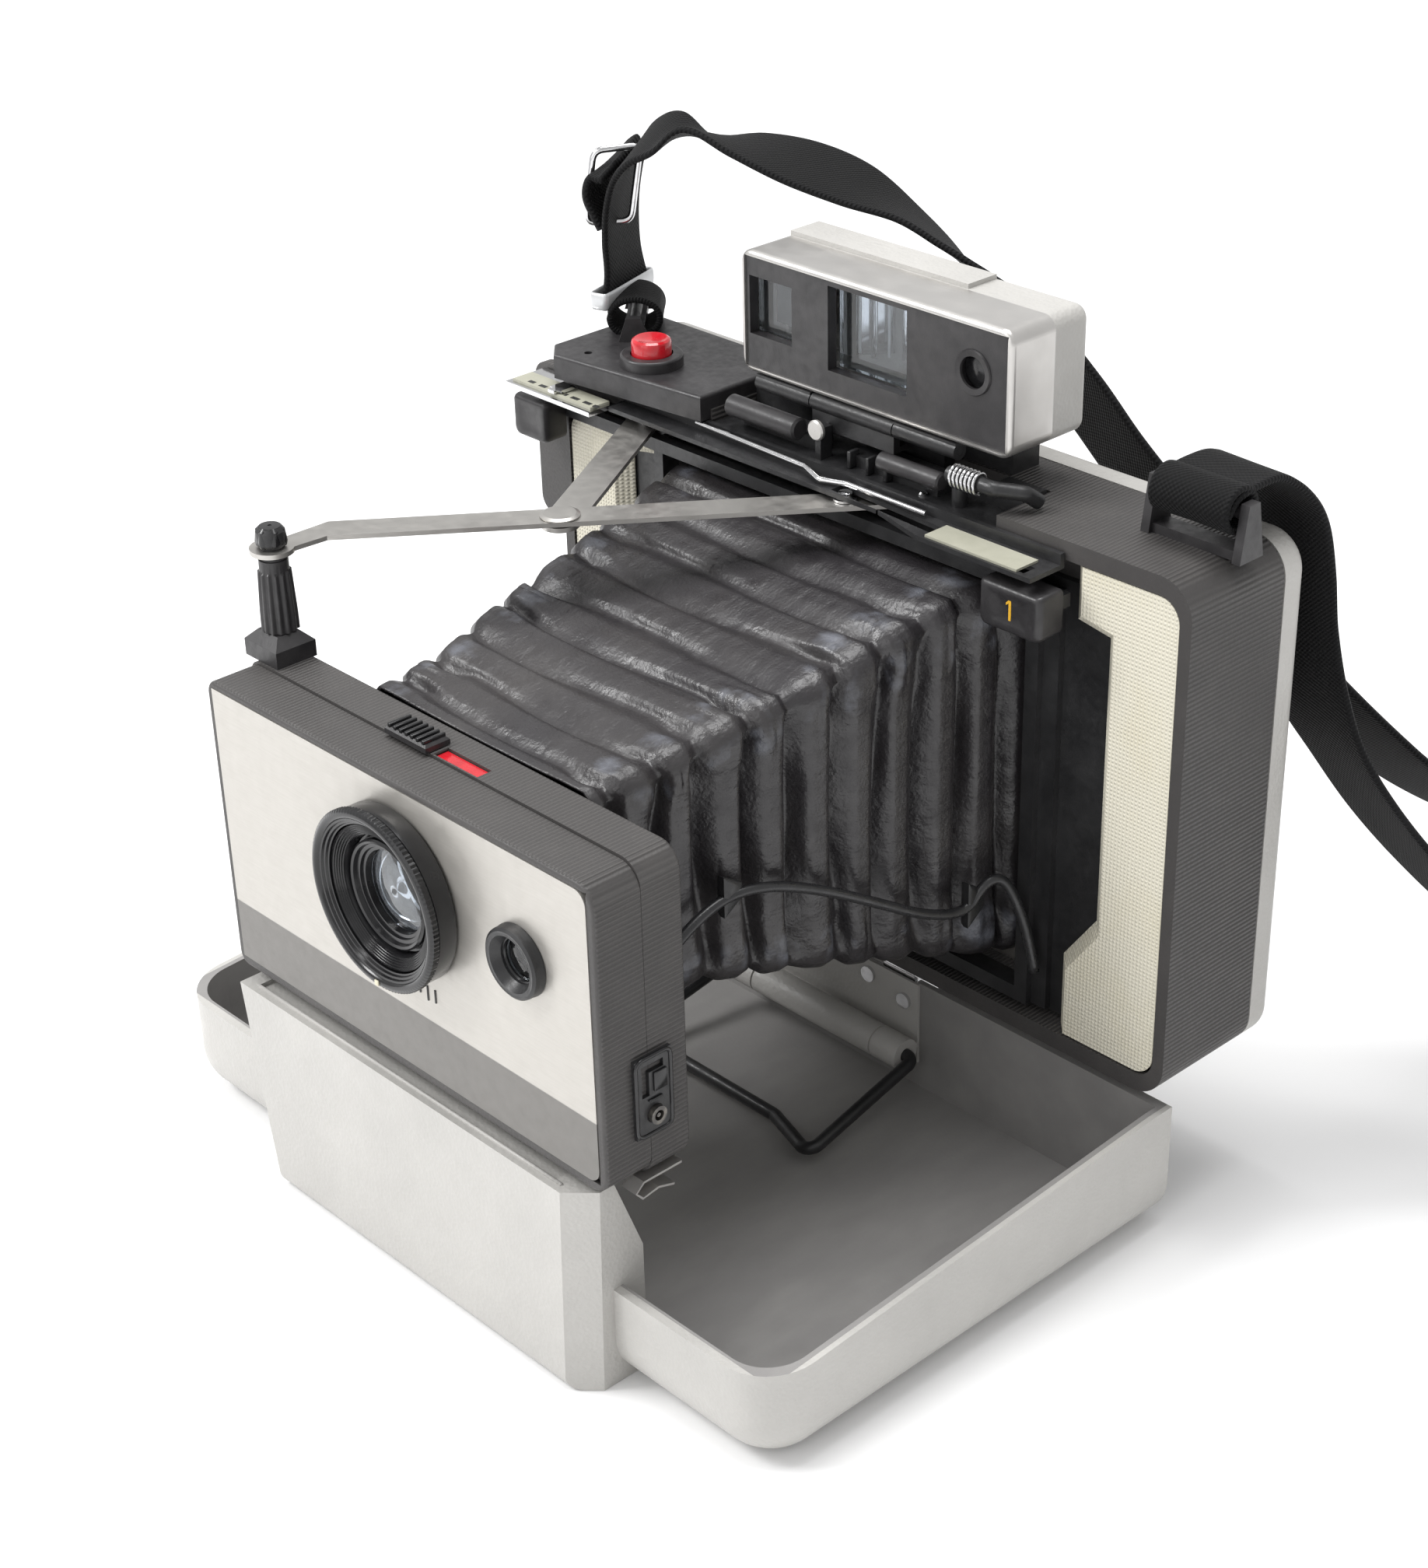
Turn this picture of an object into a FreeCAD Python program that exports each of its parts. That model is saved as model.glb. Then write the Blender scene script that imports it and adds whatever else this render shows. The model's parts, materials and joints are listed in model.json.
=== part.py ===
import FreeCAD, Part
import math
import os
import re

import Sketcher
from FreeCAD import Placement, Rotation, Vector

# Folding pack-film camera, standing on its swung-down front cover.
# X = 0 is the lens axis, Y = 0 the front plane of the body (the front faces -Y),
# Z = 0 the surface that the front cover stands on. Millimetres.

doc = FreeCAD.newDocument("PackCamera")

# ---------------------------------------------------------------- driving dimensions
SIZES = {
    # body tub
    "body_left": -87, "body_right": 95, "body_bottom": 32.6, "body_top": 148.5,
    "tub_back": 28, "rim": 2.8, "body_radius": 8,
    "recess_depth": 6, "web_back": 9, "ear_left": -95, "ear_back": 8,
    "ear_bottom": 108, "ear_top": 145, "light_half": 53.5, "light_bottom": 42,
    "light_top": 135, "door_gap": 0.4, "door_back": 35.5,
    # textured plates
    "plate_face": 0.4, "plate_back": 4, "plate_bevel": 3.3, "plate_bottom": 37,
    "plate_top": 144.1, "plate_right": 91.8, "plate_left": -83.6,
    # mechanism rail and arms
    "rail_low": 142.9, "rail_high": 143.9, "arm_low": 141, "arm_high": 142,
    "short_low": 139.8, "short_high": 140.8, "arm_link": 58.3, "arm_width": 7.4,
    "pivot_x": -57.5, "standard_pivot_y": -100,
    # top deck and button
    "deck_top": 152, "button_x": -58.5, "button_y": 3.5, "button_radius": 4.5,
    "button_top": 158,
    # focusing slide
    "slide_low": 135.6, "slide_high": 138.5, "key_low": 130.2, "key_high": 140,
    # finder
    "finder_left": -30.3, "finder_right": 45.4, "finder_low": 158, "finder_high": 184.5,
    "hinge_line_y": 5.5, "hinge_line_z": 156,
    "finder_front": 4, "bezel_back": 16.5, "finder_back": 26.5,
    # front standard
    "std_left": -60.8, "std_right": 58, "std_low": 52.4, "std_high": 117,
    "std_front": -117, "std_seam": -106, "std_rear": -96, "lens_z": 93.6,
    "lens_radius": 19, "cell_x": 36.4, "cell_z": 94, "cell_radius": 7.2,
    # bellows
    "bellows_half": 49, "bellows_low": 45, "bellows_high": 134.5,
    "nose_half": 33.8, "nose_low": 68, "nose_high": 119,
    # front cover
    "cover_left": -98.4, "cover_right": 95, "cover_front": -112, "cover_back": 4,
    "cover_wall": 2.4, "rim_front": 23, "rim_back": 29.8, "block_left": -58,
    "block_heel": -48.5,
    "block_right": 52, "block_foot": -121, "block_lip": -119.5, "block_top": 47.5,
    "hinge_y": 4, "hinge_z": 30, "knuckle": 2.2,
    # wire bail
    "bail_y": -4, "bail_z": 14, "bail_wire": 3,
    # strap
    "strap_width": 19, "strap_thick": 1.6,
}

sheet = doc.addObject("Spreadsheet::Sheet", "Dims")
for row, (alias, value) in enumerate(SIZES.items(), start=1):
    sheet.set(f"A{row}", alias)
    sheet.set(f"B{row}", str(value))
    sheet.setAlias(f"B{row}", alias)
doc.recompute()


def cells(text):
    """The expression for a size written with the sheet's own words."""
    return re.sub(r"[a-z][a-z_]+", lambda m: f"Dims.{m[0]}" if m[0] in SIZES else m[0], str(text))


def bind(obj, prop, text):
    obj.setExpression(prop, cells(text))


def value(text):
    """A size read from the sheet, for shapes that Part's own functions make."""
    return computed(cells(text))


def computed(expression):
    probe = doc.getObject("Probe") or doc.addObject("App::FeaturePython", "Probe")
    if not hasattr(probe, "Number"):
        probe.addProperty("App::PropertyFloat", "Number")
    probe.setExpression("Number", expression)
    doc.recompute()
    return probe.Number


NODES = []


def node(obj, label):
    """Marks an object as a sub-part: its label names its file."""
    obj.Label = label
    NODES.append(obj)
    return obj


# ---------------------------------------------------------------- Part primitives
def box(name, x, y, z):
    """A block between two sizes on each axis."""
    solid = doc.addObject("Part::Box", name)
    for prop, axis, (low, high) in zip(("Length", "Width", "Height"), "xyz", (x, y, z)):
        bind(solid, prop, f"({high}) - ({low})")
        bind(solid, f"Placement.Base.{axis}", low)
    return solid


TURN = {"Z": Rotation(), "-Y": Rotation(Vector(1, 0, 0), 90), "Y": Rotation(Vector(1, 0, 0), -90),
        "X": Rotation(Vector(0, 1, 0), 90)}


def rod(name, radius, length, at, axis="Z", tip=None):
    """A cylinder, or a cone when tip gives the radius of its far end."""
    solid = doc.addObject("Part::Cone" if tip else "Part::Cylinder", name)
    if tip:
        bind(solid, "Radius1", radius)
        bind(solid, "Radius2", tip)
    else:
        bind(solid, "Radius", radius)
    bind(solid, "Height", length)
    solid.Placement = Placement(Vector(), TURN[axis])
    for letter, text in zip("xyz", at):
        bind(solid, f"Placement.Base.{letter}", text)
    return solid


def minus(name, base, *tools):
    result = base
    for count, tool in enumerate(tools):
        cut = doc.addObject("Part::Cut", f"{name}{count}")
        cut.Base, cut.Tool = result, tool
        result = cut
    return result


def plus(name, *shapes):
    union = doc.addObject("Part::MultiFuse", name)
    union.Shapes = list(shapes)
    union.Refine = True
    return union


def group(name, *shapes):
    """Separate solids that share one sub-part."""
    compound = doc.addObject("Part::Compound", name)
    compound.Links = list(shapes)
    return compound


def made(name, shape):
    """A sub-part whose shape Part's own functions made."""
    feature = doc.addObject("Part::Feature", name)
    feature.Shape = shape
    return feature


# ---------------------------------------------------------------- PartDesign bodies
PLANES = {"XY": "XY_Plane", "XZ": "XZ_Plane", "YZ": "YZ_Plane"}


def new_body(name):
    return doc.addObject("PartDesign::Body", name)


def new_sketch(body, plane, level):
    """A sketch on one of the body's own origin planes, moved along its normal to a level."""
    sketch = body.newObject("Sketcher::SketchObject", f"{body.Name}Sketch")
    origin = [f for f in body.Origin.OriginFeatures if f.Role == PLANES[plane]][0]
    sketch.AttachmentSupport = [(origin, "")]
    sketch.MapMode = "FlatFace"
    bind(sketch, "AttachmentOffset.Base.z", f"-({level})" if plane == "XZ" else level)
    return sketch


def place_point(sketch, geometry, vertex, point, spot):
    """Fixes one point at the distances from the origin that two texts give."""
    for kind, text, guess in zip(("DistanceX", "DistanceY"), point, spot):
        index = sketch.addConstraint(Sketcher.Constraint(kind, -1, 1, geometry, vertex, guess))
        bind(sketch, f"Constraints[{index}]", text)


def outline(sketch, points):
    """A closed outline of straight edges through the given points."""
    spots = [tuple(value(text) for text in point) for point in points]
    first = sketch.GeometryCount
    count = len(points)
    for start in range(count):
        a, b = spots[start], spots[(start + 1) % count]
        sketch.addGeometry(Part.LineSegment(Vector(*a, 0), Vector(*b, 0)))
    for start in range(count):
        following = first + (start + 1) % count
        sketch.addConstraint(Sketcher.Constraint("Coincident", first + start, 2, following, 1))
    for start in range(count):
        place_point(sketch, first + start, 1, points[start], spots[start])


def circle(sketch, centre, radius):
    spot = tuple(value(text) for text in centre)
    index = sketch.addGeometry(Part.Circle(Vector(*spot, 0), Vector(0, 0, 1), value(radius)))
    place_point(sketch, index, 3, centre, spot)
    size = sketch.addConstraint(Sketcher.Constraint("Radius", index, value(radius)))
    bind(sketch, f"Constraints[{size}]", radius)


def rectangle(x, y):
    return [(x[0], y[0]), (x[1], y[0]), (x[1], y[1]), (x[0], y[1])]


def extrude(body, kind, plane, levels, points=None, round_at=None):
    """A pad or pocket of one outline or circle, from the lower level up to the higher one."""
    sketch = new_sketch(body, plane, levels[0])
    if points:
        outline(sketch, points)
    if round_at:
        circle(sketch, *round_at)
    before = None if kind == "Pad" else body.Tip.Shape.Volume
    feature = body.newObject(f"PartDesign::{kind}", f"{body.Name}{kind}")
    feature.Profile = sketch
    bind(feature, "Length", f"({levels[1]}) - ({levels[0]})")
    feature.Reversed = (plane == "XZ") == (kind == "Pad")
    doc.recompute()
    if before is not None and feature.Shape.Volume >= before - 1e-6:
        raise RuntimeError(f"{feature.Name} cut nothing")
    return feature


def dress(body, kind, size, pick):
    """A fillet or chamfer on the edges of the tip that pick() accepts."""
    base = body.Tip
    names = [f"Edge{n}" for n, edge in enumerate(base.Shape.Edges, start=1) if pick(edge)]
    if not names:
        raise RuntimeError(f"{body.Name}: no edge to dress")
    feature = body.newObject(f"PartDesign::{kind}", f"{body.Name}{kind}")
    feature.Base = (base, names)
    bind(feature, "Radius" if kind == "Fillet" else "Size", size)
    doc.recompute()
    if "Invalid" in feature.State:
        raise RuntimeError(f"{feature.Name} failed")
    return feature


def along(axis, edge):
    """Whether a straight edge runs along an axis."""
    if edge.Curve.TypeId != "Part::GeomLine":
        return False
    direction = edge.Curve.Direction
    return abs(abs(getattr(direction, axis)) - 1) < 1e-6


def on_level(axis, level, edge):
    """Whether an edge lies wholly in the plane at a level."""
    spot = value(level)
    box_of = edge.BoundBox
    low, high = getattr(box_of, f"{axis.upper()}Min"), getattr(box_of, f"{axis.upper()}Max")
    return abs(low - spot) < 1e-4 and abs(high - spot) < 1e-4


def turned(name, profile, at, axis="-Y"):
    """A round part: a profile of (radius, height) points turned about its own axis."""
    body = new_body(name)
    sketch = new_sketch(body, "XZ", "0")
    outline(sketch, profile)
    feature = body.newObject("PartDesign::Revolution", f"{name}Turn")
    feature.Profile = sketch
    feature.ReferenceAxis = (sketch, ["V_Axis"])
    feature.Angle = 360
    body.Placement = Placement(Vector(), TURN[axis])
    for letter, text in zip("xyz", at):
        bind(body, f"Placement.Base.{letter}", text)
    doc.recompute()
    return body


def wire_rod(points, radius, bend):
    """A round wire: straight runs joined by tangent arcs, of the bend radius or as large as the runs allow."""
    edges = []
    start = points[0]
    for before, corner, after in zip(points, points[1:], points[2:]):
        into = (corner - before).normalize()
        out = (after - corner).normalize()
        half = into.getAngle(out) / 2
        shorter = min((corner - before).Length, (after - corner).Length)
        reach = min(bend * math.tan(half), 0.45 * shorter)
        arc = reach / math.tan(half)
        entry, leave = corner - into * reach, corner + out * reach
        middle = corner + (out - into).normalize() * (arc / math.cos(half) - arc)
        edges.append(Part.LineSegment(start, entry).toShape())
        edges.append(Part.Arc(entry, middle, leave).toShape())
        start = leave
    edges.append(Part.LineSegment(start, points[-1]).toShape())
    path = Part.Wire(edges)
    direction = points[1] - points[0]
    section = Part.Wire(Part.Circle(points[0], direction, radius).toShape())
    return path.makePipeShell([section], True, False)


# ================================================================ body
def body_shell():
    tub = new_body("Tub")
    extrude(tub, "Pad", "XZ", ("0", "tub_back"),
            rectangle(("body_left", "body_right"), ("body_bottom", "body_top")))
    dress(tub, "Fillet", "body_radius", lambda e: along("y", e))
    extrude(tub, "Pad", "XZ", ("0", "ear_back"),
            rectangle(("ear_left", "body_left + 12"), ("ear_bottom", "ear_top")))
    dress(tub, "Fillet", "4", lambda e: along("y", e) and on_level("x", "ear_left", e))
    extrude(tub, "Pocket", "XZ", ("0", "recess_depth"),
            rectangle(("plate_left - 0.4", "plate_right + 0.4"), ("plate_bottom - 0.4", "plate_top + 0.4")))
    dress(tub, "Fillet", "5", lambda e: along("y", e) and e.BoundBox.YMax < value("recess_depth") + 0.01
          and e.BoundBox.YMin > -0.01 and e.BoundBox.YLength > 5.9
          and value("ear_left") + 9 < e.BoundBox.XMin < value("plate_right + 0.5"))
    extrude(tub, "Pocket", "XZ", ("recess_depth - 1", "web_back + 1"),
            rectangle(("-light_half", "light_half"), ("light_bottom", "light_top")))
    extrude(tub, "Pocket", "XZ", ("web_back", "tub_back"),
            rectangle(("body_left + rim", "body_right - rim"), ("body_bottom + rim", "body_top - rim")))
    extrude(tub, "Pocket", "XY", ("plate_top - 1", "body_top + 1"),
            rectangle(("-35.6", "46"), ("-1", "16.2")))
    extrude(tub, "Pocket", "XY", ("plate_top - 3", "body_top - 1.6"),
            rectangle(("ear_left - 1", "ear_left + 5"), ("2.5", "5.5")))
    return node(tub, "body_shell")


def cream_plate(name, outer, inner, waist, top, label):
    """A C-shaped plate with a bevel along its inner edge; inner is its wide ends, waist its narrow part."""
    plate = new_body(name)
    points = [(outer, "plate_bottom"), (outer, top), (inner, top), (inner, "131"), (waist, "129.6"),
              (waist, "65.5"), (inner, "54"), (inner, "plate_bottom")]
    extrude(plate, "Pad", "XZ", ("plate_face", "plate_back"), points)
    dress(plate, "Fillet", "5", lambda e: along("y", e) and abs(e.BoundBox.XMin - value(outer)) < 0.01)
    dress(plate, "Chamfer", "plate_bevel", lambda e: on_level("y", "plate_face", e)
          and all(abs(v.X - value(outer)) > 12 for v in e.Vertexes))
    return node(plate, label)


def dark_frame():
    ring = new_body("DarkFrame")
    extrude(ring, "Pad", "XZ", ("4.4", "recess_depth - 0.1"),
            rectangle(("-76", "78"), ("38", "138")))
    extrude(ring, "Pad", "XZ", ("1.2", "4.4"),
            rectangle(("-light_half - 2.8", "light_half + 3.4"), ("light_bottom - 3.4", "light_top + 1")))
    extrude(ring, "Pad", "XZ", ("2.8", "4.4"),
            rectangle(("light_half", "light_half + 7.4"), ("light_bottom - 3.4", "light_top + 1")))
    extrude(ring, "Pocket", "XZ", ("0", "recess_depth"),
            rectangle(("-light_half", "light_half"), ("light_bottom", "light_top")))
    return node(ring, "bellows_frame")


def top_deck():
    deck = new_body("Deck")
    extrude(deck, "Pad", "XY", ("body_top", "deck_top"),
            [("-84", "-3"), ("-79", "-7.5"), ("-36", "-3"), ("-36", "26"), ("-79", "26"), ("-84", "21")])
    extrude(deck, "Pad", "XY", ("146.4", "deck_top"),
            [("-84", "-3"), ("-79", "-7.5"), ("-36", "-3"), ("-36", "-0.2"), ("-84", "-0.2")])
    dress(deck, "Fillet", "0.8", lambda e: on_level("z", "deck_top", e))
    extrude(deck, "Pad", "XY", ("deck_top", "154.6"), round_at=(("button_x", "button_y"), "7"))
    dress(deck, "Fillet", "0.6", lambda e: on_level("z", "154.6", e))
    extrude(deck, "Pocket", "XY", ("body_top", "155"),
            round_at=(("button_x", "button_y"), "button_radius + 0.25"))
    extrude(deck, "Pocket", "XY", ("deck_top - 1.5", "deck_top"), round_at=(("-74", "-1.6"), "0.9"))
    return node(deck, "top_deck")


def shutter_button():
    profile = [("0", "-6.2"), ("button_radius + 0", "-6.2"), ("button_radius", "-0.9"),
               ("button_radius - 0.9", "0"), ("0", "-0.4")]
    button = turned("RedButton", profile, ("button_x", "button_y", "button_top"), "Z")
    return node(button, "shutter_button")


def mechanism():
    base = box("MechBase", ("-35.4", "45.8"), ("0.6", "16"), ("144.2", "145.6"))
    wall = box("MechWall", ("-35.4", "20"), ("13", "16"), ("145.6", "150.5"))
    slide = box("MechBlock", ("-30", "-8"), ("4", "9"), ("145.6", "149"))
    upright = box("MechUpright", ("-5.2", "-3.6"), ("0.9", "4.2"), ("145.6", "152.5"))
    tray = box("MechTray", ("2", "27"), ("3.5", "11"), ("145.6", "148.2"))
    post = rod("MechPost", "1.6", "4.6", ("33", "3.5", "145.6"))
    block = box("MechRight", ("36", "45.8"), ("8", "15"), ("145.6", "149.2"))
    return node(plus("Mech", base, wall, slide, upright, tray, post, block), "mechanism_plate")


def rail():
    """The rail under the top deck that carries the arm pivot and guides the slider pin."""
    strip = new_body("Rail")
    extrude(strip, "Pad", "XY", ("rail_low", "rail_high"),
            [("-62", "-0.4"), ("-62", "-6.6"), ("20", "-6.6"), ("34", "-10.4"), ("64", "-10.4"), ("64", "-0.4")])
    extrude(strip, "Pad", "XY", ("rail_high", "146.2"),
            rectangle(("-62", "64"), ("-1.6", "-0.4")))
    extrude(strip, "Pad", "XY", ("rail_low", "rail_high"),
            rectangle(("-62", "-53"), ("-0.4", "3")))
    slope = "(-7.36 + 4.18) / (58.7 - 8.55)"
    line = "-4.2 + ({x} - 8.55) * (" + slope + ")"
    left, right = "6", "61.4"
    at_left, at_right = line.format(x=left), line.format(x=right)
    extrude(strip, "Pocket", "XY", ("rail_low", "rail_high"),
            [(left, at_left + " - 1.7"), (right, at_right + " - 1.7"),
             (right, at_right + " + 1.7"), (left, at_left + " + 1.7")])
    return node(strip, "slide_rail")


def scale_strips():
    left = box("ScaleLeftPlate", ("-91", "-62.4"), ("-12", "-0.4"), ("rail_low", "rail_high"))
    marks = box("ScaleLeftCard", ("-90", "-63.5"), ("-10.6", "-5"), ("rail_high", "144.4"))
    node(left, "scale_plate")
    right = box("ScaleRightCard", ("36", "60"), ("-9.8", "-3.4"), ("rail_high", "144.4"))
    node(group("ScaleCards", marks, right), "scale_cards")


def arm_pin():
    pin = plus("ArmPin", rod("ArmPinShank", "1.5", "3.2", ("pivot_x", "0", "rail_low - 3.2")),
               rod("ArmPinHead", "2.6", "0.8", ("pivot_x", "0", "rail_low - 4")))
    return node(pin, "arm_pivot_pin")


def film_chamber():
    gate = minus("Gate", box("GatePlate", ("-62", "58"), ("web_back", "web_back + 1.2"), ("38", "141")),
                 box("GateHole", ("-47.5", "47.5"), ("web_back - 1", "web_back + 3"), ("54.5", "127.5")))
    node(gate, "film_gate")
    node(box("Cell", ("66", "86"), ("web_back + 1.5", "web_back + 11"), ("70", "118")), "battery")


def lug(name, x, y, low, high, label, swing=0):
    """A strap bar held between two tapered horns; swing turns it about the vertical."""
    base = box(f"{name}Base", (f"{x} - 2.5", f"{x} + 2"), (f"{y} - 12", f"{y} + 12"), (low, f"{low} + 2"))
    horns = []
    for side, (near, far) in enumerate(((f"{y} - 12", f"{y} - 10"), (f"{y} + 10", f"{y} + 12"))):
        horn = new_body(f"{name}Horn{side}")
        extrude(horn, "Pad", "XZ", (near, far), [(f"{x} - 3.6", low), (f"{x} + 3.4", low),
                                                 (f"{x} + 1.4", high), (f"{x} - 1.8", high)])
        horns.append(horn)
    bar = rod(f"{name}Bar", "1.2", "24", (f"{x} - 0.2", f"{y} - 12", f"{high} - 2.6"), "Y")
    whole = plus(name, base, *horns, bar)
    whole.Placement = Placement(Vector(), Rotation(Vector(0, 0, 1), swing), Vector(float(x), float(y), 0))
    return node(whole, label)


def band(points, normals, width, thickness):
    """A flat band through points; each normal is the way its flat side faces."""
    sections = []
    count = len(points)
    for index, (point, normal) in enumerate(zip(points, normals)):
        ahead = points[min(index + 1, count - 1)] - points[max(index - 1, 0)]
        across = ahead.cross(normal).normalize()
        out = across.cross(ahead).normalize()
        side, rise = across * (width / 2), out * (thickness / 2)
        corners = [point + side + rise, point - side + rise, point - side - rise, point + side - rise]
        sections.append(Part.makePolygon(corners + corners[:1]))
    return Part.makeLoft(sections, True, True)


def strap():
    """The neck strap: up from the left lug, over behind the finder, round on the right, to the right lug."""
    route = [
        (-84.6, 19, 159, -0.95, -0.3, 0), (-84.3, 18.5, 166, -0.9, -0.43, 0), (-84, 18, 174, -0.9, -0.43, 0),
        (-82.5, 17.6, 182, -0.88, -0.43, 0.2), (-79.6, 17.6, 189.6, -0.8, -0.45, 0.4),
        (-75, 18, 194.8, -0.5, -0.45, 0.75), (-69, 19.6, 197.4, -0.2, -0.3, 0.93),
        (-62, 22.6, 198, 0, 0.4, 0.92),
        (-51.6, 27, 196.8, 0.1, 0.1, 1), (-39.7, 32, 194, 0.2, -0.1, 1), (-29, 37, 190.4, 0.3, 0, 0.95),
        (-18, 42, 185, 0.4, 0.4, 0.8), (-9, 45.5, 178.6, 0.5, 0.6, 0.6), (2, 48, 170.6, 0.4, 0.8, 0.4),
        (14, 49, 162.4, 0.3, 1, 0.2), (26.4, 49, 153.4, 0.2, 1, 0.2), (38, 49, 143.6, 0.2, 1, 0.2),
        (50, 50, 133, 0.2, 1, 0.1), (62, 53, 121, 0, 1, 0.2), (73, 58, 108, -0.1, 1, 0.3),
        (83, 66, 95, -0.2, 0.9, 0.5), (91, 77, 82, -0.3, 0.6, 0.8), (100, 90, 69, -0.3, 0.2, 0.9),
        (113, 102, 54, -0.1, -0.2, 0.95), (128, 110, 38, 0.2, -0.5, 0.85), (143, 111, 24, 0.3, -0.3, 0.9),
        (155.5, 103, 15.6, 0.2, 0.1, 1), (158.5, 92, 20, -0.3, 0.5, 0.8), (151, 83, 31, -0.7, 0.3, 0.7),
        (139, 75, 44.6, -0.7, -0.2, 0.6), (126, 67, 58, -0.6, -0.6, 0.3), (114, 59.6, 71, -0.5, -0.8, 0.1),
        (104, 53.4, 84, -0.4, -0.9, 0), (96.4, 48.6, 97, -0.3, -0.95, 0), (91, 45, 110, 0, -1, 0),
        (88, 42.4, 123, 0.25, -0.96, 0),
        (87, 41.4, 136, 0.2, -0.96, 0), (86, 40, 147, 0.1, -0.95, -0.2), (84.6, 36.5, 155.5, 0, -0.6, -0.8),
        (83.4, 30, 160.6, 0, -0.2, -1), (83, 23, 161.4, 0, 0, -1), (83, 16, 160.6, 0, 0.2, -1),
        (83, 12.8, 157.4, 0, 0.7, -0.7)]
    points = [Vector(*stop[:3]) for stop in route]
    normals = [Vector(*stop[3:]) for stop in route]
    return node(made("Strap", band(points, normals, value("strap_width"), value("strap_thick"))), "neck_strap")


cream_plate("PlateRight", "plate_right", "64.7", "73", "plate_top", "cream_plate_right")
cream_plate("PlateLeft", "plate_left", "-57.6", "-66", "135.6", "cream_plate_left")
lug("LugRight", "83", "17", "body_top", "160", "strap_lug_right", 90)
lug("LugLeft", "-80", "18.5", "deck_top", "157.4", "strap_lug_left", 45)


# ================================================================ film door
def film_door():
    door = new_body("Door")
    extrude(door, "Pad", "XZ", ("tub_back + door_gap", "door_back"),
            rectangle(("body_left - 1.2", "body_right"), ("body_bottom", "body_top")))
    dress(door, "Fillet", "body_radius", lambda e: along("y", e))
    dress(door, "Fillet", "3", lambda e: on_level("y", "door_back", e))
    extrude(door, "Pocket", "XZ", ("tub_back + door_gap", "door_back - 2.4"),
            rectangle(("body_left + 1.4", "body_right - 2.4"), ("body_bottom + 2.4", "body_top - 2.4")))
    node(door, "film_door")
    rolls = []
    for level, low in (("upper", "16.2"), ("lower", "22.6")):
        rolls.append(rod(f"Roll{level}", "2.6", "86", ("-79", low, "48")))
    node(group("Rollers", *rolls), "spread_rollers")
    arms = [box(f"RollArm{n}", ("-82.5", "-75.5"), ("13", "32.9"), (low, high))
            for n, (low, high) in enumerate((("45.4", "47.6"), ("134.4", "136.6")))]
    bar = box("RollBar", ("-82.5", "-75.5"), ("27.4", "32.9"), ("47.6", "134.4"))
    node(plus("RollCradle", *arms, bar), "roller_cradle")
    latch = plus("LatchPlate", box("LatchBlade", ("-91.4", "-88.6"), ("15", "31"), ("84", "100")),
                 rod("LatchBarrel", "1.4", "16", ("-90", "31", "84")))
    node(latch, "door_latch")


# ================================================================ focusing slide
def focus_slide():
    bar = box("FocusBar", ("-92", "66"), ("-3", "-0.6"), ("slide_low", "slide_high"))
    node(bar, "focus_bar")
    for label, left, right, front in (("left", "-92.4", "-81", "-9.5"), ("right", "50.4", "66.4", "-10")):
        key = new_body(f"Key{label}")
        extrude(key, "Pad", "XY", ("key_low", "key_high"), rectangle((left, right), (front, "-3")))
        dress(key, "Fillet", "1.2", lambda e: along("z", e) and e.BoundBox.YMax < -5)
        dish = rod(f"KeyDish{label}", "14", "24", (f"(({left}) + ({right})) / 2", f"{front} - 12.9", "124"))
        node(minus(f"FocusKey{label}", key, dish), f"focus_button_{label}")
    points = [(-38, -2.2, 145.6), (-4, -3.4, 145.6), (2, -5.2, 144.9), (8, -3, 144.9), (30, -3, 144.9)]
    wire = wire_rod([Vector(*p) for p in points], 0.6, 2)
    tips = [(33, 0.4, 153.4), (44.5, 0.4, 153.4), (49.5, 4.5, 152.6), (50.5, 7.4, 150.3)]
    node(made("Elbow", wire_rod([Vector(*p) for p in tips], 1.6, 2.2)), "rangefinder_rod")
    turns = Part.makeHelix(1.05, 7.3, 2.15)
    turns.Placement = Placement(Vector(34.6, 0.4, 153.4), Rotation(Vector(0, 1, 0), 90))
    section = Part.Wire(Part.Circle(Vector(34.6, 0.4, 155.55), Vector(0, 1, 0), 0.35).toShape())
    node(made("Coil", Part.Wire(turns.Edges).makePipeShell([section], True, True)), "rangefinder_spring")
    pointer = plus("Pointer", box("PointerStem", ("-78", "-74"), ("-9.8", "-5.8"), ("144.7", "145.4")),
                   box("PointerArrow", ("-77", "-75"), ("-11.2", "-9.8"), ("144.7", "145.4")))
    node(group("FocusWire", made("Wire", wire), pointer), "focus_wire")


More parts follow.
